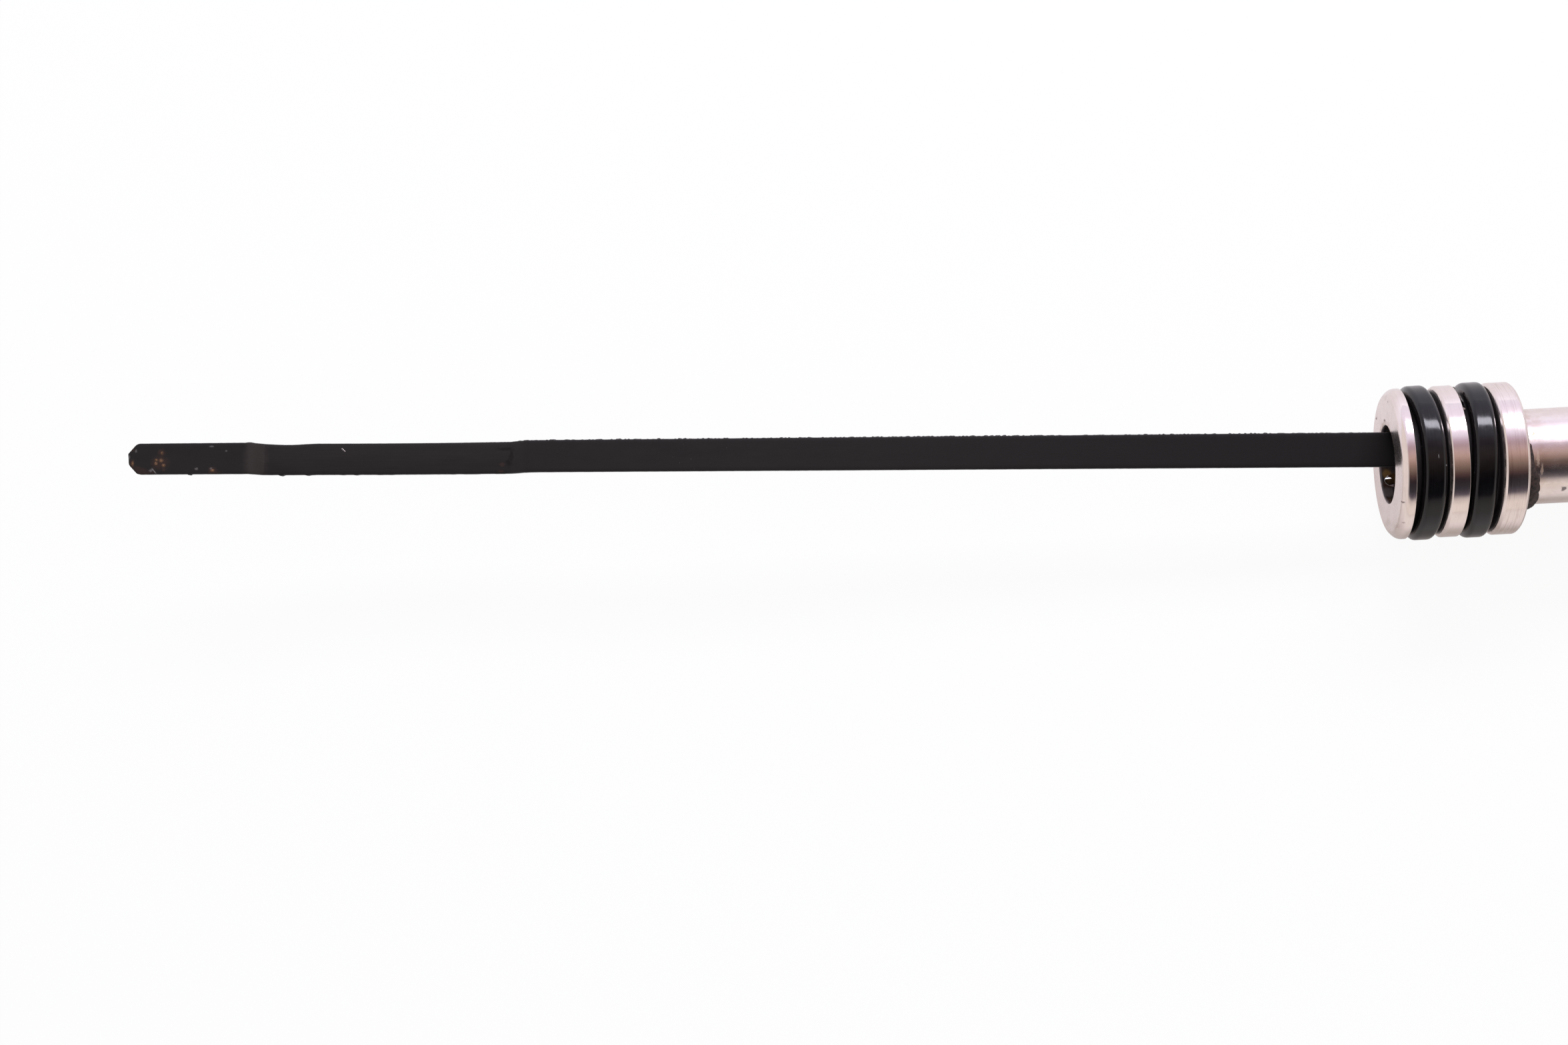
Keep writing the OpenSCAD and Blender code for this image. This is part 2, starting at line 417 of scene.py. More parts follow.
class Value:
    """A number that varies over a surface: a socket that can be used in sums."""

    def __init__(self, bench: Bench, socket: bpy.types.NodeSocket) -> None:
        """Wraps a socket of the bench's node tree."""
        self.bench = bench
        self.socket = socket

    def _sum(self, operation: str, *terms: Number, clamp: bool = False) -> Value:
        """Adds a Math node.

        Args:
            operation: What it does.
            terms: What it works on.
            clamp: Holds the result from 0 to 1.

        Returns:
            The result.
        """
        settings = {"operation": operation, "use_clamp": clamp}
        node = self.bench.node("ShaderNodeMath", settings, dict(enumerate(terms)))
        return Value(self.bench, node.outputs[0])

    def __add__(self, other: Number) -> Value:
        """Self plus other."""
        return self._sum("ADD", self, other)

    def __radd__(self, other: Number) -> Value:
        """Other plus self."""
        return self._sum("ADD", other, self)

    def __sub__(self, other: Number) -> Value:
        """Self minus other."""
        return self._sum("SUBTRACT", self, other)

    def __rsub__(self, other: Number) -> Value:
        """Other minus self."""
        return self._sum("SUBTRACT", other, self)

    def __mul__(self, other: Number) -> Value:
        """Self times other."""
        return self._sum("MULTIPLY", self, other)

    def __rmul__(self, other: Number) -> Value:
        """Other times self."""
        return self._sum("MULTIPLY", other, self)

    def __truediv__(self, other: Number) -> Value:
        """Self over other."""
        return self._sum("DIVIDE", self, other)

    def __pow__(self, other: Number) -> Value:
        """Self to a power."""
        return self._sum("POWER", self, other)

    def __abs__(self) -> Value:
        """Self without its sign."""
        return self._sum("ABSOLUTE", self)

    def most(self, other: Number) -> Value:
        """The greater of the two."""
        return self._sum("MAXIMUM", self, other)

    def clamped(self) -> Value:
        """Self, held from 0 to 1."""
        return self._sum("ADD", self, 0.0, clamp=True)

    def angle_to(self, other: Number) -> Value:
        """The angle whose tangent is self over other, over the whole turn."""
        return self._sum("ARCTAN2", self, other)

    def rising(self, low: float, high: float) -> Value:
        """0 below low and 1 above high, smooth between them. It falls if low is above high."""
        node = self.bench.node("ShaderNodeMapRange", {"interpolation_type": "SMOOTHSTEP"},
                               {"Value": self, "From Min": low, "From Max": high})
        return Value(self.bench, node.outputs[0])


Number = Union[float, int, Value]


class Bench:
    """A node tree and the one method that adds nodes to it."""

    def __init__(self, tree: bpy.types.NodeTree) -> None:
        """Empties the tree."""
        self.tree = tree
        tree.nodes.clear()

    def node(self, kind: str, settings: dict[str, Any] | None = None,
             sockets: dict[Any, Any] | None = None) -> bpy.types.Node:
        """Adds a node.

        Args:
            kind: Its type.
            settings: Its properties, set first. stops are a ramp's (place, colour) pairs.
            sockets: The value or link of each input, by name or number.

        Returns:
            The node.
        """
        made = self.tree.nodes.new(kind)
        for key, value in (settings or {}).items():
            if key == "stops":
                self._fill_ramp(made.color_ramp, value)
            else:
                setattr(made, key, value)
        for key, value in (sockets or {}).items():
            target = made.inputs[key]
            if isinstance(value, Value):
                self.tree.links.new(value.socket, target)
            elif isinstance(value, bpy.types.NodeSocket):
                self.tree.links.new(value, target)
            elif target.type == "RGBA" and len(value) == 3:
                target.default_value = (*value, 1.0)
            else:
                target.default_value = value
        return made

    @staticmethod
    def _fill_ramp(ramp: bpy.types.ColorRamp, stops: Sequence[tuple[float, Colour]]) -> None:
        """Sets a ramp's stops.

        Args:
            ramp: The ramp, with the two stops of a new one.
            stops: Its places from 0 to 1 and their colours.
        """
        while len(ramp.elements) < len(stops):
            ramp.elements.new(1.0)
        for element, (place, colour) in zip(ramp.elements, stops):
            element.position = place
            element.color = (*colour, 1.0)

    def local(self, lay: Lay, bearings: Bearings = Bearings()) -> bpy.types.NodeSocket:
        """The surface's point in a local frame.

        Args:
            lay: How the dipstick lies.
            bearings: The local frame. The plug's own, unless another is given.

        Returns:
            The point, in millimetres.
        """
        turn = Matrix((lay.turn() @ bearings.turn()).tolist()).to_euler("XYZ")
        origin = lay.place(np.array(bearings.origin))
        where = self.node("ShaderNodeTexCoord").outputs["Object"]
        return self.node("ShaderNodeMapping", {"vector_type": "TEXTURE"},
                         {"Vector": where, "Location": tuple(origin), "Rotation": turn,
                          "Scale": (MM, MM, MM)}).outputs[0]

    def axes(self, vector: bpy.types.NodeSocket) -> tuple[Value, Value, Value]:
        """The three parts of a vector."""
        x, y, z = self.node("ShaderNodeSeparateXYZ", None, {0: vector}).outputs
        return Value(self, x), Value(self, y), Value(self, z)

    def vector(self, x: Number, y: Number, z: Number) -> bpy.types.NodeSocket:
        """A vector from three numbers."""
        return self.node("ShaderNodeCombineXYZ", None, {0: x, 1: y, 2: z}).outputs[0]

    def vectors(self, operation: str, first: Any, second: Any) -> bpy.types.NodeSocket:
        """A vector worked out from two others, part by part."""
        settings = {"operation": operation}
        return self.node("ShaderNodeVectorMath", settings, {0: first, 1: second}).outputs[0]

    def scaled(self, vector: bpy.types.NodeSocket, scale: Point) -> bpy.types.NodeSocket:
        """A vector times another, part by part."""
        return self.vectors("MULTIPLY", vector, scale)

    def warped(self, vector: bpy.types.NodeSocket, scale: float,
               reach: float) -> bpy.types.NodeSocket:
        """The vector, moved about by a cloud of noise so that a pattern's rims turn uneven.

        Args:
            vector: The surface's point.
            scale: The cloud's scale.
            reach: Twice the furthest that the point is moved.

        Returns:
            The moved point.
        """
        settings = {"Vector": vector, "Scale": scale, "Detail": 3.0}
        cloud = self.node("ShaderNodeTexNoise", None, settings).outputs["Color"]
        centred = self.vectors("SUBTRACT", cloud, (0.5, 0.5, 0.5))
        return self.vectors("ADD", vector, self.scaled(centred, (reach, reach, reach)))

    def noise(self, vector: bpy.types.NodeSocket, scale: float, detail: float = 3.0,
              roughness: float = 0.5) -> Value:
        """A cloud from 0 to 1."""
        sockets = {"Vector": vector, "Scale": scale, "Detail": detail, "Roughness": roughness}
        return Value(self, self.node("ShaderNodeTexNoise", None, sockets).outputs[0])

    def cells(self, vector: bpy.types.NodeSocket, scale: float) -> Value:
        """The distance to the nearest of many scattered points."""
        made = self.node("ShaderNodeTexVoronoi", None, {"Vector": vector, "Scale": scale})
        return Value(self, made.outputs["Distance"])

    def spot(self, vector: bpy.types.NodeSocket, centre: Point, size: Point, edge: float) -> Value:
        """A patch that is 1 in the middle and fades out at its rim.

        Args:
            vector: The surface's point.
            centre: The patch's middle.
            size: Its half length along each axis.
            edge: The share of the size over which it fades.

        Returns:
            The patch's strength.
        """
        shares = self.scaled(self.vectors("SUBTRACT", vector, centre), tuple(1.0 / s for s in size))
        length = self.node("ShaderNodeVectorMath", {"operation": "LENGTH"}, {0: shares})
        return Value(self, length.outputs["Value"]).rising(1.0 + edge / 2.0, 1.0 - edge / 2.0)

    def spots(self, vector: bpy.types.NodeSocket, patches: Patches, edge: float) -> Value:
        """Several patches as one."""
        return reduce(Value.most, [self.spot(vector, *patch, edge) for patch in patches])

    def mix(self, factor: Number, first: Any, second: Any) -> bpy.types.NodeSocket:
        """The first colour, turned into the second by the factor."""
        sockets = {0: factor, 6: first, 7: second}
        return self.node("ShaderNodeMix", {"data_type": "RGBA"}, sockets).outputs[2]

    def bump(self, height: Value, distance: float, strength: float,
             below: bpy.types.NodeSocket | None = None) -> bpy.types.NodeSocket:
        """The normal of a relief.

        Args:
            height: The relief, from 0 to 1.
            distance: The height of 1, in millimetres.
            strength: How far the relief turns the normal.
            below: The normal of another relief that this one lies on.

        Returns:
            The normal.
        """
        sockets = {"Height": height, "Distance": distance * MM, "Strength": strength}
        if below is not None:
            sockets["Normal"] = below
        return self.node("ShaderNodeBump", None, sockets).outputs[0]

    def principled(self, sockets: dict[str, Any]) -> None:
        """Ends a material with its shader."""
        shader = self.node("ShaderNodeBsdfPrincipled", None, sockets)
        self.node("ShaderNodeOutputMaterial", None, {"Surface": shader.outputs[0]})


def new_bench(name: str) -> tuple[bpy.types.Material, Bench]:
    """A new material and the bench for its nodes.

    Args:
        name: The material's name.

    Returns:
        The material, and the bench that its nodes are added at.
    """
    material = bpy.data.materials.new(name)
    material.use_nodes = True
    return material, Bench(material.node_tree)


def shifted(patches: Patches, by: float) -> Patches:
    """Patches moved along X."""
    return tuple(((x + by, y, z), size) for (x, y, z), size in patches)


# Sizes shared by the pieces

@dataclass(frozen=True)
class Layout:
    """Places along the plug's axis and radii round it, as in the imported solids."""

    land_r: float = 9.6
    bore_r: float = 5.0
    nose_len: float = 0.75
    front_land: float = 0.9
    middle_land: float = 2.25
    rear_land: float = 2.5
    groove_w: float = 4.0
    groove_depth: float = 2.3
    land_bevel: float = 0.35
    rear_bevel: float = 0.5
    seal_cord: float = 3.1
    seal_stand_out: float = 0.22
    seal_creep: float = 0.2
    seal_gap: float = 0.02
    tube_wall: float = 1.0
    tube_reach: float = 60.0
    tube_seat: float = 6.0
    seat_gap: float = 0.05
    spigot_len: float = 28.0
    pin_inset: float = 5.5

    @property
    def front_groove(self) -> float:
        """Where the front groove starts."""
        return -self.middle_land / 2.0 - self.groove_w

    @property
    def rear_groove(self) -> float:
        """Where the rear groove starts."""
        return self.middle_land / 2.0

    @property
    def front_edge(self) -> float:
        """Where the front land starts."""
        return self.front_groove - self.front_land

    @property
    def mouth(self) -> float:
        """The plug's front face."""
        return self.front_edge - self.nose_len

    @property
    def rear_edge(self) -> float:
        """Where the rear land ends."""
        return self.rear_groove + self.groove_w + self.rear_land

    @property
    def back(self) -> float:
        """The plug's back face."""
        return self.rear_edge + self.rear_bevel

    @property
    def floor_r(self) -> float:
        """The grooves' floor."""
        return self.land_r - self.groove_depth

    @property
    def tube_r(self) -> float:
        """The tube's outside."""
        return self.bore_r + self.tube_wall

    @property
    def tube_start(self) -> float:
        """The tube's end inside the plug."""
        return self.back - self.tube_seat

    @property
    def tube_end(self) -> float:
        """The tube's end at the handle."""
        return self.mouth + self.tube_reach

    @property
    def pin_x(self) -> float:
        """The cross pin's place."""
        return self.tube_end - self.spigot_len + self.pin_inset


# Finishes

@dataclass(frozen=True)
class BlackenedSteel:
    """Oil-blackened spring steel: a matte cloudy black with rust at the tip, chips and smudges, a painted
    sheen on the lower joggle and a painted highlight on the upper edge's burrs.

    Its patterns are drawn in the blade's frame, with X the distance from the tip.
    """

    lay: Lay
    bearings: Bearings
    black: Colour = (0.0088, 0.0081, 0.0081)
    worn: Colour = (0.023, 0.0205, 0.0200)
    rust: Colour = (0.135, 0.072, 0.036)
    brown: Colour = (0.042, 0.021, 0.016)
    bare: Colour = (0.26, 0.235, 0.24)
    # painted sheen: the lower joggle's slope drawn paler
    soot: Colour = (0.0035, 0.0032, 0.0032)
    smudge: Colour = (0.050, 0.040, 0.036)
    fleck: Colour = (0.12, 0.115, 0.11)
    # pale upper edge: bare burrs, with a painted highlight where the edge catches the light
    burr_and_highlight: Colour = (0.16, 0.14, 0.15)
    hook: Patches = (
        ((55.5, 1.15, -1.0), (1.3, 0.26, 0.5)), ((56.3, 0.3, -1.0), (0.36, 1.0, 0.5)),
        ((56.0, -0.8, -1.0), (0.42, 0.45, 0.5)))
    hook_rust: Patches = (
        ((54.95, -1.0, -1.0), (0.36, 0.3, 0.5)), ((54.8, -1.95, -1.0), (0.4, 0.16, 0.5)))
    rim_rust: Patches = (
        ((0.75, -0.7, 0.4), (0.40, 0.65, 0.8)), ((1.45, -1.4, 0.4), (0.55, 0.35, 0.8)),
        ((2.3, -1.8, 0.4), (0.85, 0.45, 0.8)), ((3.4, -2.0, 0.4), (0.9, 0.30, 0.8)),
        ((0.7, 1.35, 0.4), (0.35, 0.35, 0.8)), ((13.4, -1.95, 0.4), (0.9, 0.25, 0.6)))
    halo: Patches = (
        ((4.95, -0.55, 0.5), (1.25, 0.85, 0.6)), ((5.2, 0.82, 0.5), (0.55, 0.5, 0.5)),
        ((5.6, -1.5, 0.5), (0.35, 0.3, 0.5)), ((12.95, -1.7, 0.5), (0.6, 0.4, 0.5)))
    pits: Patches = (
        ((5.12, -0.27, 0.5), (0.30, 0.26, 0.5)), ((4.36, -0.70, 0.5), (0.24, 0.22, 0.5)),
        ((5.52, -0.98, 0.5), (0.26, 0.20, 0.5)), ((5.22, 0.82, 0.5), (0.20, 0.22, 0.5)),
        ((0.8, -0.72, 0.5), (0.16, 0.34, 0.5)), ((12.95, -1.75, 0.5), (0.28, 0.20, 0.5)),
        ((4.40, -0.20, 0.5), (0.22, 0.18, 0.5)))
    scrapes: Patches = (
        ((3.62, -1.68, 0.5), (0.26, 0.20, 0.4)), ((1.27, 1.12, 0.5), (0.14, 0.22, 0.4)),
        ((0.25, 0.2, 0.5), (0.14, 0.30, 0.4)), ((14.9, 1.04, 0.5), (0.14, 0.11, 0.3)),
        ((10.5, -1.48, 0.5), (0.24, 0.16, 0.3)), ((12.75, -1.45, 0.5), (0.20, 0.14, 0.3)),
        ((12.7, 1.69, 0.5), (0.35, 0.11, 0.3)))

    def make(self) -> bpy.types.Material:
        """Builds the material.

        Returns:
            The material, with its nodes.
        """
        material, bench = new_bench("blackened_spring_steel")
        at = bench.local(self.lay, self.bearings)
        rough_at = bench.warped(at, 1.6, 0.9)
        ragged_at = bench.warped(at, 5.0, 0.35)
        x = bench.axes(at)[0]
        grain = bench.noise(at, 9.0, 3.0, 0.7)
        wiped = bench.noise(bench.scaled(at, (0.12, 5.0, 1.0)), 1.0, 3.0)
        sunk = x.rising(17.6, 20.0) * x.rising(59.0, 55.0)
        rim_rust = bench.spots(rough_at, self.rim_rust, 0.9)
        halo = bench.spots(rough_at, self.halo, 1.0)
        pits = bench.spots(ragged_at, self.pits, 1.1)

        colour = self.blackened(bench, at, sunk, wiped)
        colour = self.sheen_and_smudges(bench, rough_at, ragged_at, colour)
        colour = bench.mix(0.7 * rim_rust * grain.rising(0.3, 0.62), colour, self.brown)
        colour = bench.mix(0.55 * halo, colour, self.brown)
        colour = bench.mix(0.8 * pits, colour, self.rust)
        colour = self.scraped(bench, at, ragged_at, grain, colour)

        rusty = pits.most(rim_rust * 0.7)
        roughness = 0.58 + 0.22 * (grain - 0.5) + 0.25 * rusty - 0.10 * sunk * wiped
        relief = bench.bump(bench.noise(at, 14.0, 2.0), 0.012, 0.55)
        relief = bench.bump(pits.most(halo * 0.4) * grain, 0.09, 0.8, relief)
        relief = bench.bump(wiped, 0.01, 0.4, relief)
        bench.principled({"Base Color": colour, "Roughness": roughness.clamped(), "Normal": relief,
                          "Specular IOR Level": 0.22})
        return material

    def blackened(self, bench: Bench, at: bpy.types.NodeSocket, sunk: Value,
                  wiped: Value) -> bpy.types.NodeSocket:
        """The clean blade: cloudy, paler and wiped in the sunk stretch, darker by the plug.

        Args:
            bench: The material's bench.
            at: The surface's point in the blade's frame.
            sunk: 1 in the sunk stretch and 0 elsewhere.
            wiped: The lines that wiping has left.

        Returns:
            The colour.
        """
        x, y, _ = bench.axes(at)
        cloud = bench.noise(bench.scaled(at, (0.25, 0.7, 0.7)), 1.0, 4.0, 0.6)
        paler = 0.16 + 0.42 * (cloud - 0.5) + 0.5 * (wiped - 0.5) * sunk
        # paler towards the upper edge across the sunk stretch, darker towards its lower edge
        paler = paler + 0.28 * sunk * y.rising(-1.6, 1.2)
        near_plug = x.rising(85.0, 182.0)
        colour = bench.mix((paler * (1.0 - near_plug)).clamped(), self.black, self.worn)
        return bench.mix(0.8 * near_plug, colour, self.soot)

    def sheen_and_smudges(self, bench: Bench, rough_at: bpy.types.NodeSocket,
                ragged_at: bpy.types.NodeSocket,
                colour: bpy.types.NodeSocket) -> bpy.types.NodeSocket:
        """Adds a painted sheen, a pale brown band, on the lower joggle, and the dark hook before the upper
        one.

        Args:
            bench: The material's bench.
            rough_at: The surface's point, moved so that rims turn uneven.
            ragged_at: The same, with finer teeth.
            colour: The colour below.

        Returns:
            The colour with the smudges on it.
        """
        # painted sheen on the lower joggle, where its slope faces the light
        joggle_sheen = bench.spot(rough_at, (19.1, 0.0, -0.1), (1.4, 3.4, 1.6), 1.1)
        colour = bench.mix(0.40 * joggle_sheen, colour, self.smudge)
        colour = bench.mix(0.85 * bench.spots(rough_at, self.hook, 1.0), colour, self.soot)
        return bench.mix(0.5 * bench.spots(ragged_at, self.hook_rust, 0.9), colour, self.brown)

    def scraped(self, bench: Bench, at: bpy.types.NodeSocket, ragged_at: bpy.types.NodeSocket,
                grain: Value, colour: bpy.types.NodeSocket) -> bpy.types.NodeSocket:
        """Adds bare scrapes, one long scratch at the tip, pale flecks, and the upper edge's burrs drawn
        pale: bare metal with a painted highlight.

        Args:
            bench: The material's bench.
            at: The surface's point in the blade's frame.
            ragged_at: The same, moved so that rims turn ragged.
            grain: A fine cloud that breaks up the marks.
            colour: The colour below.

        Returns:
            The colour with the marks on it.
        """
        x, y, _ = bench.axes(at)
        colour = bench.mix(0.30 * bench.spots(ragged_at, self.scrapes, 1.0), colour, self.bare)
        scratch = y + 1.75 + 1.05 * (x - 4.1)
        scratch = abs(scratch + 0.3 * (grain - 0.5)).rising(0.16, 0.02)
        scratch = scratch * bench.spot(at, (4.1, -1.75, 0.5), (0.45, 0.50, 0.6), 0.8)
        colour = bench.mix(0.6 * scratch, colour, self.bare)
        flecks = bench.cells(at, 1.1).rising(0.085, 0.04)
        fleck_zone = 0.12 + bench.spot(at, (83.5, -0.2, 0.5), (4.5, 1.7, 1.0), 1.0)
        colour = bench.mix(0.4 * flecks * fleck_zone.clamped(), colour, self.fleck)
        # the upper edge drawn pale: bare burrs and a painted highlight
        burr_and_highlight = abs(y).rising(2.02, 2.20) * (0.35 + 0.65 * x.rising(50.0, 60.0)) * y.rising(0.0, 0.1)
        return bench.mix(0.5 * burr_and_highlight * grain.rising(0.35, 0.65), colour, self.burr_and_highlight)


@dataclass(frozen=True)
class TurnedAluminium:
    """Turned aluminium: faintly warm, with rings from the tool and stains; grooves drawn near black with
    grime and painted shade, and an oily bore with painted shade and painted reflections.

    The specks and stains are on the front face, with X counted from it.
    """

    lay: Lay
    layout: Layout
    metal: Colour = (0.875, 0.775, 0.74)
    dull: Colour = (0.72, 0.62, 0.585)
    streak: Colour = (0.56, 0.44, 0.40)
    nicked: Colour = (0.36, 0.28, 0.25)
    stain: Colour = (0.45, 0.34, 0.28)
    speck: Colour = (0.13, 0.09, 0.09)
    rim_stain: Colour = (0.34, 0.22, 0.13)
    # near black for the grooves and bore: grime and painted shade
    grime_and_shade: Colour = (0.016, 0.013, 0.016)
    oil: Colour = (0.060, 0.030, 0.014)
    amber: Colour = (0.20, 0.105, 0.028)
    red: Colour = (0.085, 0.032, 0.018)
    painted_bore_reflection: Colour = (0.20, 0.155, 0.16)
    lip: Colour = (0.24, 0.20, 0.21)
    specks: Patches = (
        ((0.0, 7.45, 3.45), (0.5, 0.13, 0.16)), ((0.0, 6.6, -4.3), (0.5, 0.12, 0.4)),
        ((0.0, 5.55, 0.6), (0.5, 0.14, 0.5)), ((0.0, -7.9, 5.0), (0.5, 0.14, 0.3)),
        ((0.0, -5.45, 7.1), (0.5, 0.12, 0.18)))
    stains: Patches = (
        ((0.0, 8.2, 2.0), (0.5, 0.3, 0.6)), ((0.0, -8.2, 3.0), (0.5, 0.25, 1.2)),
        ((0.0, -7.3, -2.0), (0.5, 0.4, 1.5)))

    def make(self) -> bpy.types.Material:
        """Builds the material.

        Returns:
            The material, with its nodes.
        """
        material, bench = new_bench("turned_aluminium")
        sizes = self.layout
        at = bench.local(self.lay)
        rough_at = bench.warped(at, 1.4, 0.9)
        x, y, z = bench.axes(at)
        radius = (y * y + z * z) ** 0.5
        rings = bench.noise(bench.vector(x + radius, y * 0.04, z * 0.04), 7.0, 4.0, 0.7)
        fine_rings = bench.noise(bench.vector(x + radius, y * 0.015, z * 0.015), 26.0, 2.0, 0.6)
        cloud = bench.noise(at, 0.45, 4.0, 0.6)
        smudge = bench.noise(bench.scaled(rough_at, (1.4, 0.7, 0.7)), 1.0, 5.0, 0.65)
        tone = 0.8 * (cloud - 0.38) + 0.35 * (rings - 0.5) + 0.7 * (smudge - 0.52)
        colour = bench.mix(tone.clamped(), self.metal, self.dull)

        on_rear_land = x.rising(sizes.rear_edge - 2.3, sizes.rear_edge - 1.9)
        streaks = bench.noise(bench.vector(x * 5.0, y * 0.16, z * 0.16), 1.0, 3.0, 0.7)
        streaked = (0.25 + 0.75 * on_rear_land) * streaks.rising(0.46, 0.72)
        colour = bench.mix(0.55 * streaked, colour, self.streak)
        stains = bench.spots(rough_at, shifted(self.stains, sizes.mouth), 1.4)
        colour = bench.mix(0.30 * stains, colour, self.stain)
        specks = bench.spots(rough_at, shifted(self.specks, sizes.mouth), 0.9)
        colour = bench.mix(0.7 * specks, colour, self.speck)
        worn = self.near_edges(x, radius) * bench.noise(at, 1.1, 3.0, 0.5).rising(0.42, 0.66)
        colour = bench.mix(0.35 * worn, colour, self.nicked)

        rim = x.rising(sizes.mouth + 0.7, sizes.mouth + 0.1)
        rim = rim * radius.rising(sizes.bore_r + 1.0, sizes.bore_r)
        rim = rim * y.rising(1.5, 4.2) * bench.noise(at, 2.4, 3.0).rising(0.3, 0.65)
        colour = bench.mix((0.8 * rim).clamped(), colour, self.rim_stain)
        # painted shade: the grooves' walls and floor drawn near black, with grime
        in_groove = radius.rising(sizes.land_r - 0.25, sizes.land_r - 0.9)
        in_groove = in_groove * x.rising(sizes.front_edge, sizes.front_groove + 0.05)
        colour = bench.mix(0.96 * in_groove, colour, self.grime_and_shade)
        # the bore drawn dark: old oil, painted shade and painted reflections
        in_bore = radius.rising(sizes.bore_r + 0.10, sizes.bore_r + 0.01)
        colour = bench.mix(0.97 * in_bore, colour, self.bore_colour(bench, at))

        # grooves and bore, drawn dark with dirt and painted shade, lose their metal
        dirt_and_shade = in_groove.most(in_bore)
        on_face = x.rising(sizes.mouth + 0.25, sizes.mouth + 0.05)
        roughness = (0.075 + 0.07 * rings + 0.14 * (cloud - 0.4) + 0.10 * (smudge - 0.4)
                     + 0.25 * specks + 0.15 * worn + 0.45 * in_groove + 0.03 * on_rear_land
                     + 0.13 * on_face)
        relief = bench.bump(fine_rings, 0.0009, 0.5)
        relief = bench.bump(rings, 0.003, 0.30, relief)
        relief = bench.bump(1.0 - specks, 0.03, 0.4, relief)
        bench.principled({"Base Color": colour, "Metallic": 1.0 - 0.9 * dirt_and_shade,
                          "Roughness": roughness.most(0.06), "Normal": relief})
        return material

    def near_edges(self, x: Value, radius: Value) -> Value:
        """Finds the lands' edges, where dirt and nicks gather.

        Args:
            x: The place along the plug's axis.
            radius: The distance from it.

        Returns:
            1 beside the edges and 0 elsewhere.
        """
        sizes = self.layout
        places = (sizes.front_groove, -sizes.rear_groove, sizes.rear_groove,
                  sizes.rear_groove + sizes.groove_w, sizes.back)
        beside = reduce(Value.most, [abs(x - place).rising(0.20, 0.02) for place in places])
        return beside * radius.rising(sizes.land_r - 0.7, sizes.land_r - 0.3)

    def bore_colour(self, bench: Bench, at: bpy.types.NodeSocket) -> bpy.types.NodeSocket:
        """The bore's wall: near black from old oil and painted shade, with an amber patch of oil tint and
        painted reflection, a red-brown patch, a pale mauve painted reflection low down, and paler just
        inside the mouth.

        Args:
            bench: The material's bench.
            at: The surface's point in the plug's frame.

        Returns:
            The colour.
        """
        mouth = self.layout.mouth
        near = bench.warped(at, 1.2, 0.5)
        x = bench.axes(at)[0]
        cloud = bench.noise(at, 0.9, 3.0)
        colour = bench.mix(cloud.rising(0.35, 0.7), self.grime_and_shade, self.oil)
        # amber patch: oil tint with a painted reflection
        amber = bench.spot(near, (mouth + 0.95, -0.75, -4.95), (0.5, 0.6, 1.0), 0.8)
        colour = bench.mix(0.9 * amber, colour, self.amber)
        red = bench.spot(near, (mouth + 0.9, -2.2, -4.5), (0.65, 0.42, 1.0), 0.8)
        colour = bench.mix(0.8 * red, colour, self.red)
        # pale mauve patch low down: a painted reflection of the front
        painted_bore_reflection = bench.spot(near, (mouth + 0.6, -3.2, -3.8), (0.9, 0.75, 1.2), 0.7)
        colour = bench.mix(0.9 * painted_bore_reflection, colour, self.painted_bore_reflection)
        return bench.mix(0.85 * x.rising(mouth + 0.40, mouth + 0.15), colour, self.lip)


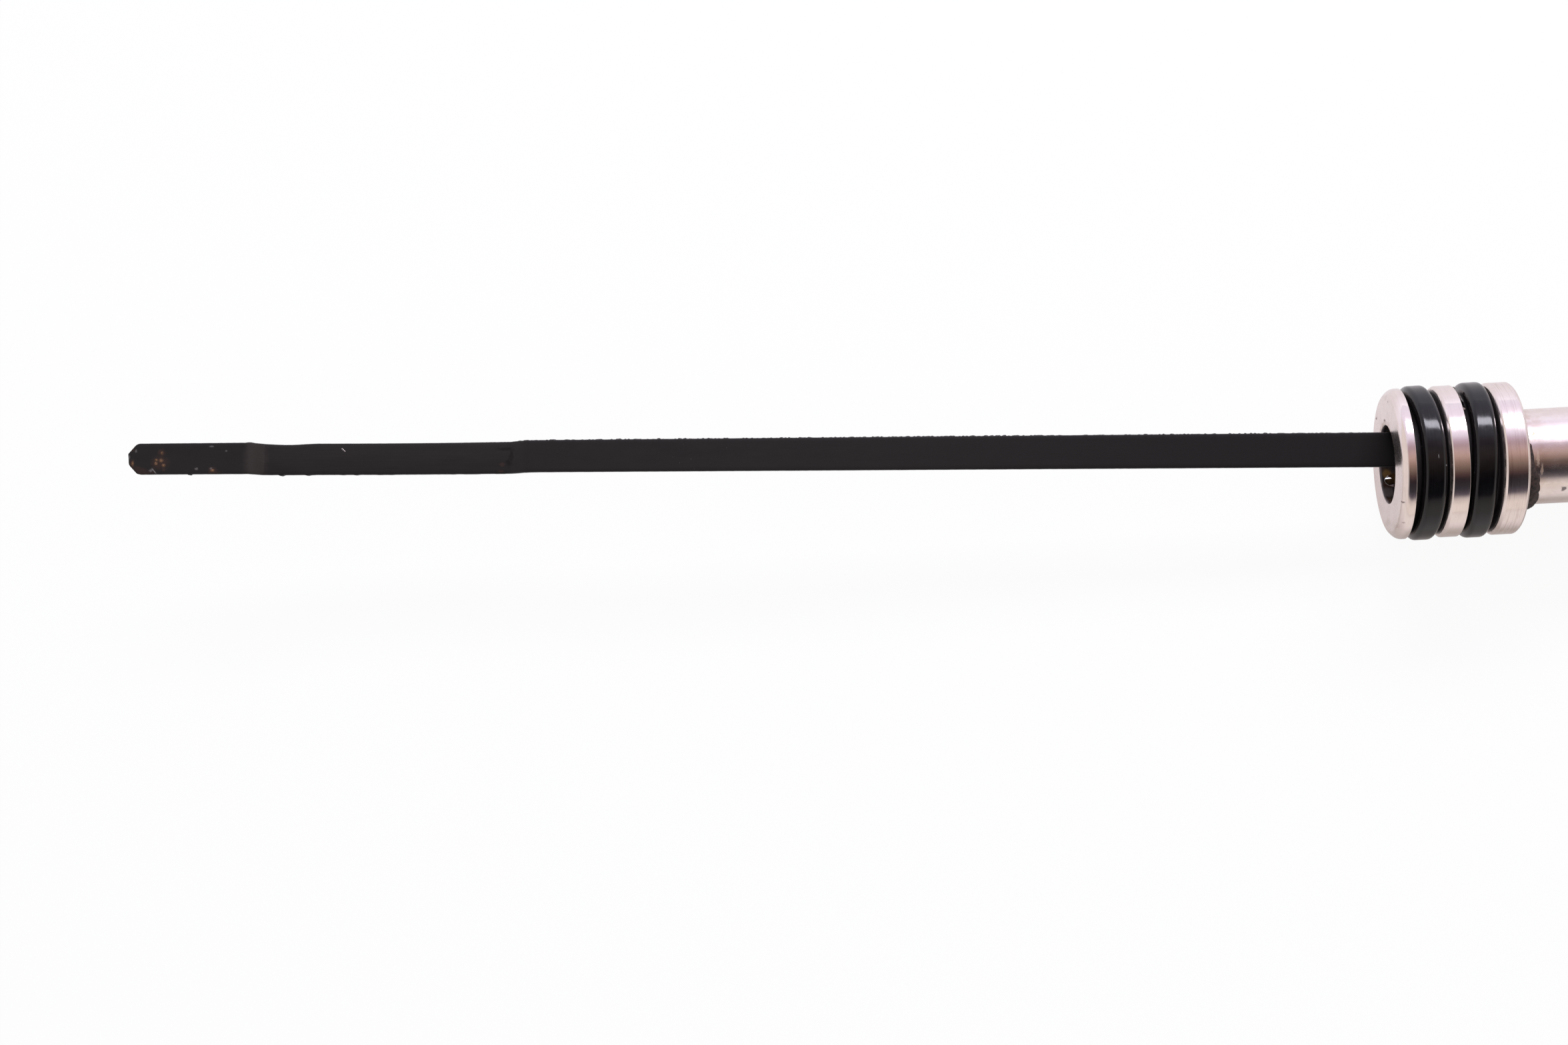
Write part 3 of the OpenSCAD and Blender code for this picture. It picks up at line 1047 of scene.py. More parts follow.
@dataclass(frozen=True)
class DrawnTube:
    """Drawn aluminium tube: satin, with long faint lines, spots and stains beside the braze.

    The patches and dots have X counted from the plug's back.
    """

    lay: Lay
    layout: Layout
    metal: Colour = (0.875, 0.785, 0.755)
    dull: Colour = (0.68, 0.57, 0.53)
    stain: Colour = (0.45, 0.24, 0.10)
    dot: Colour = (0.10, 0.07, 0.075)
    patches: Patches = (
        ((1.55, 2.3, 5.5), (0.16, 0.30, 0.6)), ((1.75, -0.9, 6.0), (0.14, 0.8, 0.8)),
        ((2.2, -2.2, 5.6), (0.14, 0.6, 0.8)))
    dots: Patches = (
        ((5.1, -4.6, 3.9), (0.28, 0.26, 0.6)), ((14.0, 3.0, 5.2), (0.25, 0.2, 0.6)),
        ((26.0, -2.0, 5.7), (0.3, 0.25, 0.6)))

    def make(self) -> bpy.types.Material:
        """Builds the material.

        Returns:
            The material, with its nodes.
        """
        material, bench = new_bench("drawn_aluminium_tube")
        back = self.layout.back
        at = bench.local(self.lay)
        rough_at = bench.warped(at, 1.8, 0.7)
        x = bench.axes(at)[0]
        lines = bench.noise(bench.scaled(at, (0.10, 3.2, 3.2)), 1.0, 4.0, 0.65)
        cloud = bench.noise(at, 0.38, 4.0, 0.65)
        smudge = bench.noise(rough_at, 1.1, 5.0, 0.65)
        tone = 0.8 * (cloud - 0.38) + 0.4 * (lines - 0.5) + 0.7 * (smudge - 0.5)
        colour = bench.mix(tone.clamped(), self.metal, self.dull)
        heat = x.rising(back + 5.0, back + 0.3) * bench.noise(at, 0.8, 3.0).rising(0.35, 0.65)
        colour = bench.mix(0.35 * heat, colour, self.stain)
        patches = bench.spots(rough_at, shifted(self.patches, back), 1.0)
        colour = bench.mix(0.6 * patches, colour, self.stain)
        freckles = bench.noise(at, 2.6, 2.0, 0.5).rising(0.70, 0.78) * cloud.rising(0.48, 0.6)
        dots = bench.spots(rough_at, shifted(self.dots, back), 0.8).most(0.35 * freckles)
        colour = bench.mix(0.75 * dots, colour, self.dot)
        roughness = (0.18 + 0.12 * (lines - 0.3) + 0.20 * (cloud - 0.4) + 0.14 * (smudge - 0.4)
                     + 0.25 * patches + 0.2 * dots)
        relief = bench.bump(lines, 0.003, 0.3)
        bench.principled({"Base Color": colour, "Metallic": 1.0 - 0.5 * patches.most(dots),
                          "Roughness": roughness.most(0.07), "Normal": relief})
        return material


@dataclass(frozen=True)
class SealRubber:
    """Black nitrile rubber, oily and smooth, with dull patches, specks and faint wear lines."""

    lay: Lay
    black: Colour = (0.0032, 0.0029, 0.0034)
    dusty: Colour = (0.016, 0.0145, 0.016)
    pale: Colour = (0.38, 0.36, 0.36)
    lint: Patches = (
        ((-4.45, 1.05, 9.3), (0.12, 0.13, 0.4)), ((-2.6, -0.35, 9.8), (0.035, 0.22, 0.4)),
        ((-1.75, -1.45, 9.4), (0.09, 0.10, 0.4)), ((1.55, -2.5, 9.3), (0.08, 0.10, 0.4)),
        ((-3.3, 5.0, -8.4), (0.10, 0.18, 0.4)))

    def make(self) -> bpy.types.Material:
        """Builds the material.

        Returns:
            The material, with its nodes.
        """
        material, bench = new_bench("seal_rubber")
        at = bench.local(self.lay)
        x, y, z = bench.axes(at)
        cloud = bench.noise(at, 0.6, 4.0, 0.6)
        rubbed = bench.noise(bench.vector(x * 6.0, y * 0.10, z * 0.10), 1.0, 3.0, 0.6)
        dusted = (0.7 * (cloud - 0.42) + 0.5 * (rubbed - 0.52)).clamped()
        colour = bench.mix(dusted, self.black, self.dusty)
        lint = bench.spots(bench.warped(at, 3.0, 0.2), self.lint, 1.2)
        colour = bench.mix(0.45 * lint, colour, self.pale)
        roughness = 0.13 + 0.20 * (cloud - 0.4) + 0.12 * (rubbed - 0.5) + 0.3 * lint
        relief = bench.bump(bench.noise(at, 5.0, 3.0), 0.004, 0.3)
        relief = bench.bump(rubbed, 0.006, 0.3, relief)
        bench.principled({"Base Color": colour, "Roughness": roughness.most(0.09), "Normal": relief,
                          "Specular IOR Level": 0.38})
        return material


@dataclass(frozen=True)
class BurntBraze:
    """Burnt flux and braze: a rough brown-black crust."""

    lay: Lay
    dark: Colour = (0.016, 0.012, 0.012)
    brown: Colour = (0.085, 0.052, 0.044)
    pale: Colour = (0.30, 0.25, 0.23)

    def make(self) -> bpy.types.Material:
        """Builds the material.

        Returns:
            The material, with its nodes.
        """
        material, bench = new_bench("burnt_braze")
        at = bench.local(self.lay)
        lumps = bench.noise(at, 2.2, 5.0, 0.7)
        grain = bench.noise(at, 9.0, 4.0, 0.7)
        colour = bench.mix(lumps.rising(0.38, 0.68), self.dark, self.brown)
        colour = bench.mix(0.4 * grain.rising(0.60, 0.74), colour, self.pale)
        relief = bench.bump(lumps, 0.08, 0.6)
        relief = bench.bump(grain, 0.03, 0.6, relief)
        bench.principled({"Base Color": colour, "Metallic": 0.25, "Roughness": 0.45 + 0.35 * grain,
                          "Normal": relief})
        return material


@dataclass(frozen=True)
class MouldedPlastic:
    """Black moulded plastic with a fine spark-eroded grain and a faint parting line."""

    lay: Lay
    loop_start: float
    black: Colour = (0.014, 0.014, 0.015)
    rubbed: Colour = (0.032, 0.031, 0.031)

    def make(self) -> bpy.types.Material:
        """Builds the material.

        Returns:
            The material, with its nodes.
        """
        material, bench = new_bench("moulded_plastic")
        at = bench.local(self.lay)
        cloud = bench.noise(at, 0.16, 4.0, 0.6)
        grain = bench.noise(at, 5.5, 4.0, 0.65)
        scuffs = bench.noise(bench.scaled(bench.warped(at, 0.3, 4.0), (0.5, 4.0, 4.0)), 1.0, 3.0)
        scuffed = (0.8 * (cloud - 0.4) + 0.6 * scuffs.rising(0.6, 0.8)).clamped()
        colour = bench.mix(scuffed, self.black, self.rubbed)
        x, _, z = bench.axes(at)
        parting = abs(z).rising(0.11, 0.04)
        parting = parting * x.rising(self.loop_start + 0.5, self.loop_start + 1.5)
        relief = bench.bump(grain, 0.03, 0.5)
        relief = bench.bump(parting, 0.06, 0.6, relief)
        roughness = 0.46 + 0.20 * (cloud - 0.5) + 0.1 * grain
        bench.principled({"Base Color": colour, "Roughness": roughness.clamped(),
                          "Normal": relief})
        return material


@dataclass(frozen=True)
class GroundSteel:
    """A steel pin with ground ends."""

    lay: Lay
    steel: Colour = (0.50, 0.48, 0.46)
    dull: Colour = (0.30, 0.27, 0.25)

    def make(self) -> bpy.types.Material:
        """Builds the material.

        Returns:
            The material, with its nodes.
        """
        material, bench = new_bench("ground_steel")
        at = bench.local(self.lay)
        lines = bench.noise(bench.scaled(at, (1.2, 22.0, 1.0)), 1.0, 3.0, 0.6)
        cloud = bench.noise(at, 1.3, 3.0)
        colour = bench.mix((0.5 * lines + 0.7 * (cloud - 0.4)).clamped(), self.steel, self.dull)
        bench.principled({"Base Color": colour, "Metallic": 1.0,
                          "Roughness": (0.28 + 0.25 * lines).clamped(),
                          "Normal": bench.bump(lines, 0.006, 0.5)})
        return material


@dataclass(frozen=True)
class Crust:
    """A crumb's finish: rust, dirt or a flake of bare metal, by its two colours."""

    lay: Lay
    name: str
    dark: Colour
    light: Colour
    metallic: float = 0.0
    roughness: float = 0.75

    def make(self) -> bpy.types.Material:
        """Builds the material.

        Returns:
            The material, with its nodes.
        """
        material, bench = new_bench(self.name)
        at = bench.local(self.lay)
        grain = bench.noise(at, 4.0, 4.0, 0.7)
        colour = bench.mix(grain.rising(0.35, 0.65), self.dark, self.light)
        bench.principled({"Base Color": colour, "Metallic": self.metallic,
                          "Roughness": (self.roughness + 0.3 * (grain - 0.5)).clamped(),
                          "Normal": bench.bump(grain, 0.04, 0.7)})
        return material


@dataclass(frozen=True)
class AmberOil:
    """A drop of old engine oil."""

    lay: Lay
    thick: Colour = (0.020, 0.008, 0.003)
    thin: Colour = (0.085, 0.045, 0.013)

    def make(self) -> bpy.types.Material:
        """Builds the material.

        Returns:
            The material, with its nodes.
        """
        material, bench = new_bench("amber_oil")
        at = bench.local(self.lay)
        cloud = bench.noise(at, 1.2, 2.0)
        colour = bench.mix(cloud.rising(0.35, 0.65), self.thick, self.thin)
        bench.principled({"Base Color": colour, "Roughness": 0.04 + 0.05 * cloud, "Coat Weight": 1.0,
                          "Coat Roughness": 0.02, "Coat IOR": 1.9, "Specular IOR Level": 1.0,
                          "Normal": bench.bump(cloud, 0.02, 0.3)})
        return material


# Pieces

class Side(Enum):
    """A long edge of the blade, by the sign of its Y."""

    UPPER = 1
    LOWER = -1


@dataclass(frozen=True)
class Nub:
    """A small lump or nick on a long edge of the blade, by its distance from the tip."""

    side: Side
    place: float
    height: float
    half_width: float


@dataclass
class GaugeBlade:
    """The flat gauge blade, with its joggles, its bevelled tip and its ragged edges."""

    shop: Workshop
    layout: Layout
    reach: float = 172.0
    width: float = 4.4
    thickness: float = 1.0
    lean: float = math.radians(2.9)
    tip_flat: float = 17.9
    lower_run: float = 2.1
    sunk_len: float = 35.5
    upper_run: float = 4.0
    sunk_depth: float = 1.5
    tip_len: float = 2.1
    upper_corners: tuple[tuple[float, float, float], ...] = ((0.0, 0.72, 0.30), (1.35, 2.2, 1.2))
    lower_corners: tuple[tuple[float, float, float], ...] = ((0.15, -0.85, 0.9), (1.5, -2.2, 0.7))
    slot_gap: float = 0.05
    pin_r: float = 1.02
    edge_r: float = 0.14
    burr_height: float = 0.13
    burr_pitch: float = 0.24
    burrs_from: float = 50.0
    nicks_from: float = 18.0
    nicks_to: float = 60.0
    nick_height: float = 0.07
    columns: int = 9
    nubs: tuple[Nub, ...] = (
        Nub(Side.LOWER, 9.3, 0.14, 0.30), Nub(Side.UPPER, 18.2, 0.07, 0.5),
        Nub(Side.LOWER, 22.4, 0.14, 0.5), Nub(Side.LOWER, 26.3, 0.10, 0.6),
        Nub(Side.LOWER, 33.5, 0.07, 0.6), Nub(Side.UPPER, 23.5, -0.17, 4.5),
        Nub(Side.UPPER, 42.0, -0.09, 22.0), Nub(Side.LOWER, 40.0, 0.06, 24.0))
    rust_spots: tuple[tuple[float, float, float], ...] = (
        (5.12, -0.20, 0.13), (5.22, -0.34, 0.11), (5.02, -0.36, 0.10), (4.36, -0.72, 0.13),
        (4.30, -0.58, 0.08), (5.50, -0.98, 0.13), (5.62, -0.86, 0.08), (4.40, -0.20, 0.09),
        (5.22, 0.82, 0.10), (0.80, -0.66, 0.09), (0.86, -0.84, 0.07), (12.95, -1.74, 0.15))
    rust_height: float = 0.03
    chip_spots: tuple[tuple[float, float, float], ...] = (
        (31.52, 1.38, 0.08), (31.68, 1.24, 0.09), (31.86, 1.10, 0.08), (31.98, 1.00, 0.06))
    chip_height: float = 0.05

    @property
    def length(self) -> float:
        """The blade's length from the tip to the pin, along itself."""
        return (self.layout.pin_x - self.layout.mouth + self.reach) / math.cos(self.lean)

    @property
    def root(self) -> float:
        """How far the blade runs past the pin."""
        return self.layout.pin_inset - self.slot_gap - self.width / 2.0 * math.sin(self.lean)

    @property
    def bearings(self) -> Bearings:
        """The blade's frame: X from the tip along the blade, Z up from its flat face."""
        away = self.length * math.cos(self.lean)
        return Bearings((self.layout.pin_x - away, self.length * math.sin(self.lean), 0.0), -self.lean)

    def stations(self) -> np.ndarray:
        """Places along the blade, close together in the joggles and where edges are ragged.

        Returns:
            The distances from the tip, from the end of its corners to the root's end.
        """
        joggle = self.tip_flat
        sunk = joggle + self.lower_run
        rise = sunk + self.sunk_len
        flat = rise + self.upper_run
        inside = self.reach + 6.0
        end = self.length + self.root
        runs = []
        for first, last, gap in ((self.tip_len, joggle, 0.13), (joggle, sunk, 0.06),
                                 (sunk, rise, 0.13), (rise, flat, 0.10),
                                 (flat, inside, 0.125), (inside, end, 1.2)):
            count = math.ceil((last - first) / gap)
            runs.append(np.arange(count) / count * (last - first) + first)
        return np.concatenate([*runs, [end]])

    def tip(self, side: Side) -> np.ndarray:
        """Half of the tip's outline, round the two corners of one side, each an arc.

        Args:
            side: The long edge that it runs into.

        Returns:
            Points from the middle of the tip up to the straight edge, evenly spaced.
        """
        corners = self.upper_corners if side is Side.UPPER else self.lower_corners
        sharp = 0.001
        nose = 0.09
        arc_steps = 12
        far = (self.tip_len, side.value * self.width / 2.0, sharp)
        path = rounded([(self.tip_len, 0.0, sharp), (nose, 0.0, sharp), *corners, far],
                       0.05, arc_steps)[arc_steps:]
        first = np.argmax(path[:, 0] < nose + 0.01)
        last = np.argmin(np.linalg.norm(path - np.array(far[:2]), axis=1))
        path = path[first:last + 1]
        steps = np.linalg.norm(np.diff(path, axis=0), axis=1)
        run = np.concatenate([[0.0], np.cumsum(steps)])
        wanted = np.linspace(0.0, run[-1], 40)[:-1]
        return np.stack([np.interp(wanted, run, path[:, i]) for i in range(2)], axis=1)

    def edge(self, side: Side) -> np.ndarray:
        """One long edge of the outline.

        It runs round the tip, then straight, with humps for its nubs, a ragged row of burrs
        on the upper side and small nicks in the sunk stretch on the lower one.

        Args:
            side: Which edge.

        Returns:
            Points from the middle of the tip to the middle of the root's end.
        """
        half = self.width / 2.0
        x = self.stations()
        out = np.full_like(x, half)
        for nub in self.nubs:
            if nub.side is side:
                out += nub.height * bump_at(x, nub.place, nub.half_width)
        if side is Side.UPPER:
            teeth = np.clip(ragged(x, self.burr_pitch, 7) - 0.35, 0.0, None) / 0.65
            zone = fade(x, self.burrs_from, self.burrs_from + 12.0)
            zone = zone * fade(x, self.reach, self.reach - 8.0)
            out += self.burr_height * teeth * zone * (0.35 + 0.65 * ragged(x, 6.0, 11))
        else:
            zone = fade(x, self.nicks_from, self.nicks_from + 4.0)
            zone = zone * fade(x, self.nicks_to, self.nicks_to - 6.0)
            out += self.nick_height * np.clip(ragged(x, 0.9, 5) - 0.5, 0.0, None) * zone
        out += 0.012 * (ragged(x, 0.5, 3 + side.value) - 0.5)
        straight = np.stack([x, side.value * out], axis=1)
        end_y = np.linspace(half, 0.0, 6)[1:] * side.value
        end = np.stack([np.full_like(end_y, x[-1]), end_y], axis=1)
        return np.vstack([self.tip(side), straight, end])

    def shell(self) -> Shell:
        """The blade's skin.

        Each station's ring runs across the upper face, round one edge, across the lower face
        and round the other. An edge's ring is a quarter circle, a straight side and a quarter
        circle, carried in from the outline along its normal. The flat blade is then bent.

        Returns:
            The closed skin, in the plug's frame.
        """
        upper, lower = self.edge(Side.UPPER), self.edge(Side.LOWER)
        loop = np.vstack([upper, lower[::-1][1:-1]])
        ahead = np.roll(loop, -1, axis=0) - np.roll(loop, 1, axis=0)
        normal = np.stack([-ahead[:, 1], ahead[:, 0]], axis=1)
        normal /= np.linalg.norm(normal, axis=1, keepdims=True)
        count = len(upper)
        upper_in = -normal[:count]
        lower_in = np.vstack([-normal[:1], -normal[count:][::-1], -normal[count - 1:count]])
        half = self.thickness / 2.0
        turn = np.linspace(0.0, np.pi / 2.0, 5)
        inset = self.edge_r * (1.0 - np.sin(turn))
        height = half - self.edge_r * (1.0 - np.cos(turn))
        inset = np.concatenate([inset, inset[::-1]])
        height = np.concatenate([height, -height[::-1]])

        def rim(edge: np.ndarray, inward: np.ndarray) -> np.ndarray:
            """Carries the edge's section along it.

            Args:
                edge: The outline's points along one edge.
                inward: The direction into the blade at each of them.

            Returns:
                The points round the edge, from the upper face to the lower one.
            """
            flat = edge[:, None] + inset[None, :, None] * inward[:, None]
            level = np.broadcast_to(height[None, :, None], (*flat.shape[:2], 1))
            return np.concatenate([flat, level], axis=2)

        first, second = rim(upper, upper_in), rim(lower, lower_in)
        share = np.linspace(0.0, 1.0, self.columns + 2)[1:-1][None, :, None]
        top = second[:, :1] * (1.0 - share) + first[:, :1] * share
        bottom = first[:, -1:] * (1.0 - share) + second[:, -1:] * share
        rings = np.concatenate([top, first, bottom, second[:, ::-1]], axis=1)
        bent = self.bent(rings.reshape(-1, 3)).reshape(rings.shape)
        return Shell.lofted(self.bearings.place(bent.reshape(-1, 3)).reshape(rings.shape))

    def bent(self, points: np.ndarray) -> np.ndarray:
        """Bends the flat blade down into the sunk stretch and up again.

        Over each joggle the line falls by half the depth times 1 - cos(pi t), with t the share
        of the run, and a point at height h stands h off the line along its normal.

        Args:
            points: Points of the flat blade, in its frame.

        Returns:
            The same points of the bent one.
        """
        x, y, h = points.T
        drop = np.zeros_like(x)
        slope = np.zeros_like(x)
        rise = self.tip_flat + self.lower_run + self.sunk_len
        for start, run, depth in ((self.tip_flat, self.lower_run, self.sunk_depth),
                                  (rise, self.upper_run, -self.sunk_depth)):
            t = np.clip((x - start) / run, 0.0, 1.0) * np.pi
            drop += depth / 2.0 * (1.0 - np.cos(t))
            slope += np.arctan(depth * np.pi / (2.0 * run) * np.sin(t))
        return np.stack([x + h * np.sin(slope), y, -drop + h * np.cos(slope)], axis=1)

    def build(self) -> None:
        """Makes the blade, its rust and its chips."""
        finish = BlackenedSteel(self.shop.lay, self.bearings).make()
        made = self.shop.piece("gauge_blade", self.shell(), finish, Slot.BLACKENED, ["blade"])
        self.shop.drill(made, (self.layout.pin_x, 0.0, 0.0), self.pin_r, self.thickness)
        top = self.thickness / 2.0
        rust = Crust(self.shop.lay, "rust_scale", dark=(0.050, 0.022, 0.012), light=(0.27, 0.135, 0.065))
        scale = self.crumbs(self.rust_spots, top, self.rust_height, 31)
        self.shop.piece("rust_scale", scale, rust.make(), Slot.BLACKENED)
        bare = Crust(self.shop.lay, "bare_chip", dark=(0.35, 0.27, 0.25), light=(0.80, 0.74, 0.76),
                     metallic=0.3, roughness=0.4)
        chips = self.crumbs(self.chip_spots, top - self.sunk_depth, self.chip_height, 47)
        self.shop.piece("bare_chips", chips, bare.make(), Slot.BLACKENED)

    def crumbs(self, spots: Sequence[tuple[float, float, float]], level: float, height: float,
               seed: int) -> Shell:
        """Crumbs on the blade's face.

        Args:
            spots: The distance from the tip, the place across and the radius of each.
            level: The face's height over the blade's middle.
            height: The crumbs' height.
            seed: Chooses the first one's shape, and each next seed the next one's.

        Returns:
            All of them as one shell.
        """
        made = [crumb(self.bearings.place(np.array([x, y, level])), np.eye(3), size, height, seed + i)
                for i, (x, y, size) in enumerate(spots)]
        return sum(made[1:], made[0])


def crumb(centre: np.ndarray, axes: np.ndarray, radius: float, height: float, seed: int,
          wobble: float = 0.22, steps: int = 20) -> Shell:
    """A small lump on a surface, with an uneven rim.

    Its height over the surface falls from the middle to the rim as 1 - f squared, with f the
    share of the radius.

    Args:
        centre: Its middle on the surface.
        axes: Rows are two directions along the surface and the one out of it.
        radius: Its mean radius.
        height: Its height.
        seed: Chooses its shape.
        wobble: How far its rim and its height wander, as a share of them.
        steps: Points round it.

    Returns:
        The closed lump.
    """
    angle = np.linspace(0.0, 2.0 * np.pi, steps, endpoint=False)
    f = np.linspace(0.0, 1.0, max(6, steps // 4))
    share = np.concatenate([f, [0.95, 0.0]])[:, None]
    level = np.concatenate([1.0 - f * f, [-0.35, -0.35]])[:, None]
    reach = radius * share * (1.0 + wobble * wander(angle, 5, seed))
    lumpy = height * level * (1.0 + wobble * wander(angle, 4, seed + 1) * share)
    flat = np.stack([reach * np.cos(angle), reach * np.sin(angle), lumpy], axis=-1)
    return Shell.lofted(centre + flat @ axes)


@dataclass
class TurnedPlug:
    """The plug, turned in one piece: three lands, two grooves, a nose chamfer and a seat."""

    shop: Workshop
    layout: Layout
    edge_r: float = 0.07
    groove_r: float = 0.25
    rim_r: float = 0.16
    nose_depth: float = 0.85
    rear_bevel: float = 0.3
    oil_middle: float = 3.45
    oil_half_len: float = 3.0
    oil_half_w: float = 1.25
    oil_height: float = 0.46
    oil_angle: float = math.radians(19.3)
    crumb_count: int = 16
    crumb_angles_deg: tuple[float, float] = (18.0, 62.0)
    crumb_depths: tuple[float, float] = (0.25, 0.7)
    crumb_sizes: tuple[float, float] = (0.12, 0.3)
    steps: int = 288

    def profile(self) -> np.ndarray:
        """The plug's section, with a small radius on each edge.

        Returns:
            Its closed outline, as rows of a place along the axis and a radius.
        """
        s = self.layout
        e = self.edge_r
        seat_r = s.tube_r + s.seat_gap
        seat_x = s.tube_start - s.seat_gap
        middle_end = s.rear_groove
        middle_start = -s.rear_groove
        rear_start = s.rear_groove + s.groove_w
        return rounded([
            (s.mouth, s.bore_r, self.rim_r), (s.mouth, s.land_r - self.nose_depth, 0.7),
            (s.front_edge, s.land_r, 1.2), (s.front_groove, s.land_r, e),
            (s.front_groove, s.floor_r, self.groove_r), (middle_start, s.floor_r, self.groove_r),
            (middle_start, s.land_r - s.land_bevel, e), (middle_start + s.land_bevel, s.land_r, e),
            (middle_end, s.land_r, e), (middle_end, s.floor_r, self.groove_r),
            (rear_start, s.floor_r, self.groove_r), (rear_start, s.land_r - s.land_bevel, e),
            (rear_start + s.land_bevel, s.land_r, e), (s.back - self.rear_bevel, s.land_r, 0.3),
            (s.back, s.land_r - self.rear_bevel, 0.3), (s.back, seat_r, e),
            (seat_x, seat_r, e), (seat_x, s.bore_r, e)], 0.5, 8)

    def build(self) -> None:
        """Makes the plug, the dirt in its rear groove and the oil in its bore."""
        s = self.layout
        finish = TurnedAluminium(self.shop.lay, s).make()
        skin = turned(self.profile(), self.steps)
        self.shop.piece("turned_plug", skin, finish, Slot.TURNED, ["plug"])
        dirt = Crust(self.shop.lay, "groove_dirt", dark=(0.035, 0.022, 0.018), light=(0.26, 0.20, 0.18))
        self.shop.piece("groove_dirt", self.groove_dirt(), dirt.make(), Slot.TURNED)
        oil = AmberOil(self.shop.lay).make()
        self.shop.piece("bore_oil", self.bore_oil(), oil, Slot.TURNED)

    def groove_dirt(self) -> Shell:
        """Crumbs wedged between the rear O-ring and the middle land, on the upper side.

        Returns:
            All of them as one shell.
        """
        s = self.layout
        rng = np.random.default_rng(19)
        along = np.array([1.0, 0.0, 0.0])
        made = []
        for i in range(self.crumb_count):
            angle = math.radians(rng.uniform(*self.crumb_angles_deg))
            out = np.array([0.0, math.cos(angle), math.sin(angle)])
            round_it = np.array([0.0, -math.sin(angle), math.cos(angle)])
            radius = s.land_r - rng.uniform(*self.crumb_depths)
            centre = along * (s.rear_groove + 0.12) + out * radius
            axes = np.stack([round_it, out, along])
            size = rng.uniform(*self.crumb_sizes)
            made.append(crumb(centre, axes, size, rng.uniform(*self.crumb_sizes), 100 + i))
        return sum(made[1:], made[0])

    def bore_oil(self) -> Shell:
        """A long flat drop of oil on the bore's wall, which runs in from the mouth.

        At a share f of the way from its middle to its rim it stands off the wall by its height
        times 1 - f squared, and its underside lies inside the wall. Its angle is counted from
        straight down towards -Y.

        Returns:
            The closed drop.
        """
        s = self.layout
        f = np.concatenate([np.linspace(0.0, 1.0, 24), [0.0]])[:, None]
        turn = np.linspace(0.0, 2.0 * np.pi, 72, endpoint=False)[None, :]
        rim = 1.0 + 0.05 * wander(turn, 4, 61)
        x = s.mouth + self.oil_middle + self.oil_half_len * f * rim * np.cos(turn)
        angle = self.oil_angle + self.oil_half_w / s.bore_r * f * rim * np.sin(turn)
        radius = s.bore_r - self.oil_height * (1.0 - f * f) + 0.0 * turn
        radius[-1] = s.bore_r + 0.1
        return Shell.lofted(np.stack([x, -radius * np.sin(angle), -radius * np.cos(angle)], axis=-1))


# How the seals are twisted in their grooves, as pairs of an angle and a shift
FRONT_TWIST = ((-90.0, -0.28), (-50.0, -0.05), (-10.0, 0.08), (20.0, 0.08), (70.0, -0.38), (180.0, 0.0))
REAR_TWIST = ((-80.0, -0.22), (-30.0, -0.43), (25.0, -0.02), (80.0, 0.22), (180.0, 0.0))


@dataclass
class SealRing:
    """One O-ring, flattened against the socket and the groove's floor, and twisted in its groove.

    twist holds how far it stands off its packed place along the axis, as pairs of an angle in
    degrees from +Z towards +Y and a shift.
    """

    shop: Workshop
    layout: Layout
    node: str
    groove_middle: float
    twist: tuple[tuple[float, float], ...]
    seed: int
    finish: bpy.types.Material
    steps: int = 288

    def shell(self) -> Shell:
        """The ring's skin: a circle clipped to the flats, its corners smoothed, turned.

        The clipped section is averaged with its neighbours a few times. Its place along the
        axis follows the twist, joined by straight lines and smoothed, and drifts a little.

        Returns:
            The closed skin.
        """
        s = self.layout
        outer = s.land_r + s.seal_stand_out
        inner = s.floor_r + s.seal_gap
        middle = (outer + inner) / 2.0
        flat = (outer - inner) / 2.0
        t = np.linspace(0.0, 2.0 * np.pi, 72, endpoint=False)
        radial = smoothed(np.clip(s.seal_cord / 2.0 * np.cos(t), -flat, flat), 4)
        axial = smoothed(s.seal_cord / 2.0 * np.sin(t), 4)
        angle = np.linspace(0.0, 2.0 * np.pi, self.steps, endpoint=False)[:, None]
        degrees, shifts = np.array(self.twist).T
        drift = smoothed(np.interp(90.0 - np.degrees(angle), degrees, shifts, period=360.0), 60)
        drift += 0.01 * wander(angle, 5, self.seed + 1)
        grow = 1.0 - 0.004 * np.abs(wander(angle, 6, self.seed))
        radius = middle + radial * grow
        x = self.groove_middle + s.seal_creep + axial * grow + drift
        return Shell.lofted(around(x, radius, angle), wrap_rows=True)

    def build(self) -> None:
        """Makes the ring."""
        self.shop.piece(f"{self.node}_worn", self.shell(), self.finish, Slot.RUBBER, [self.node])


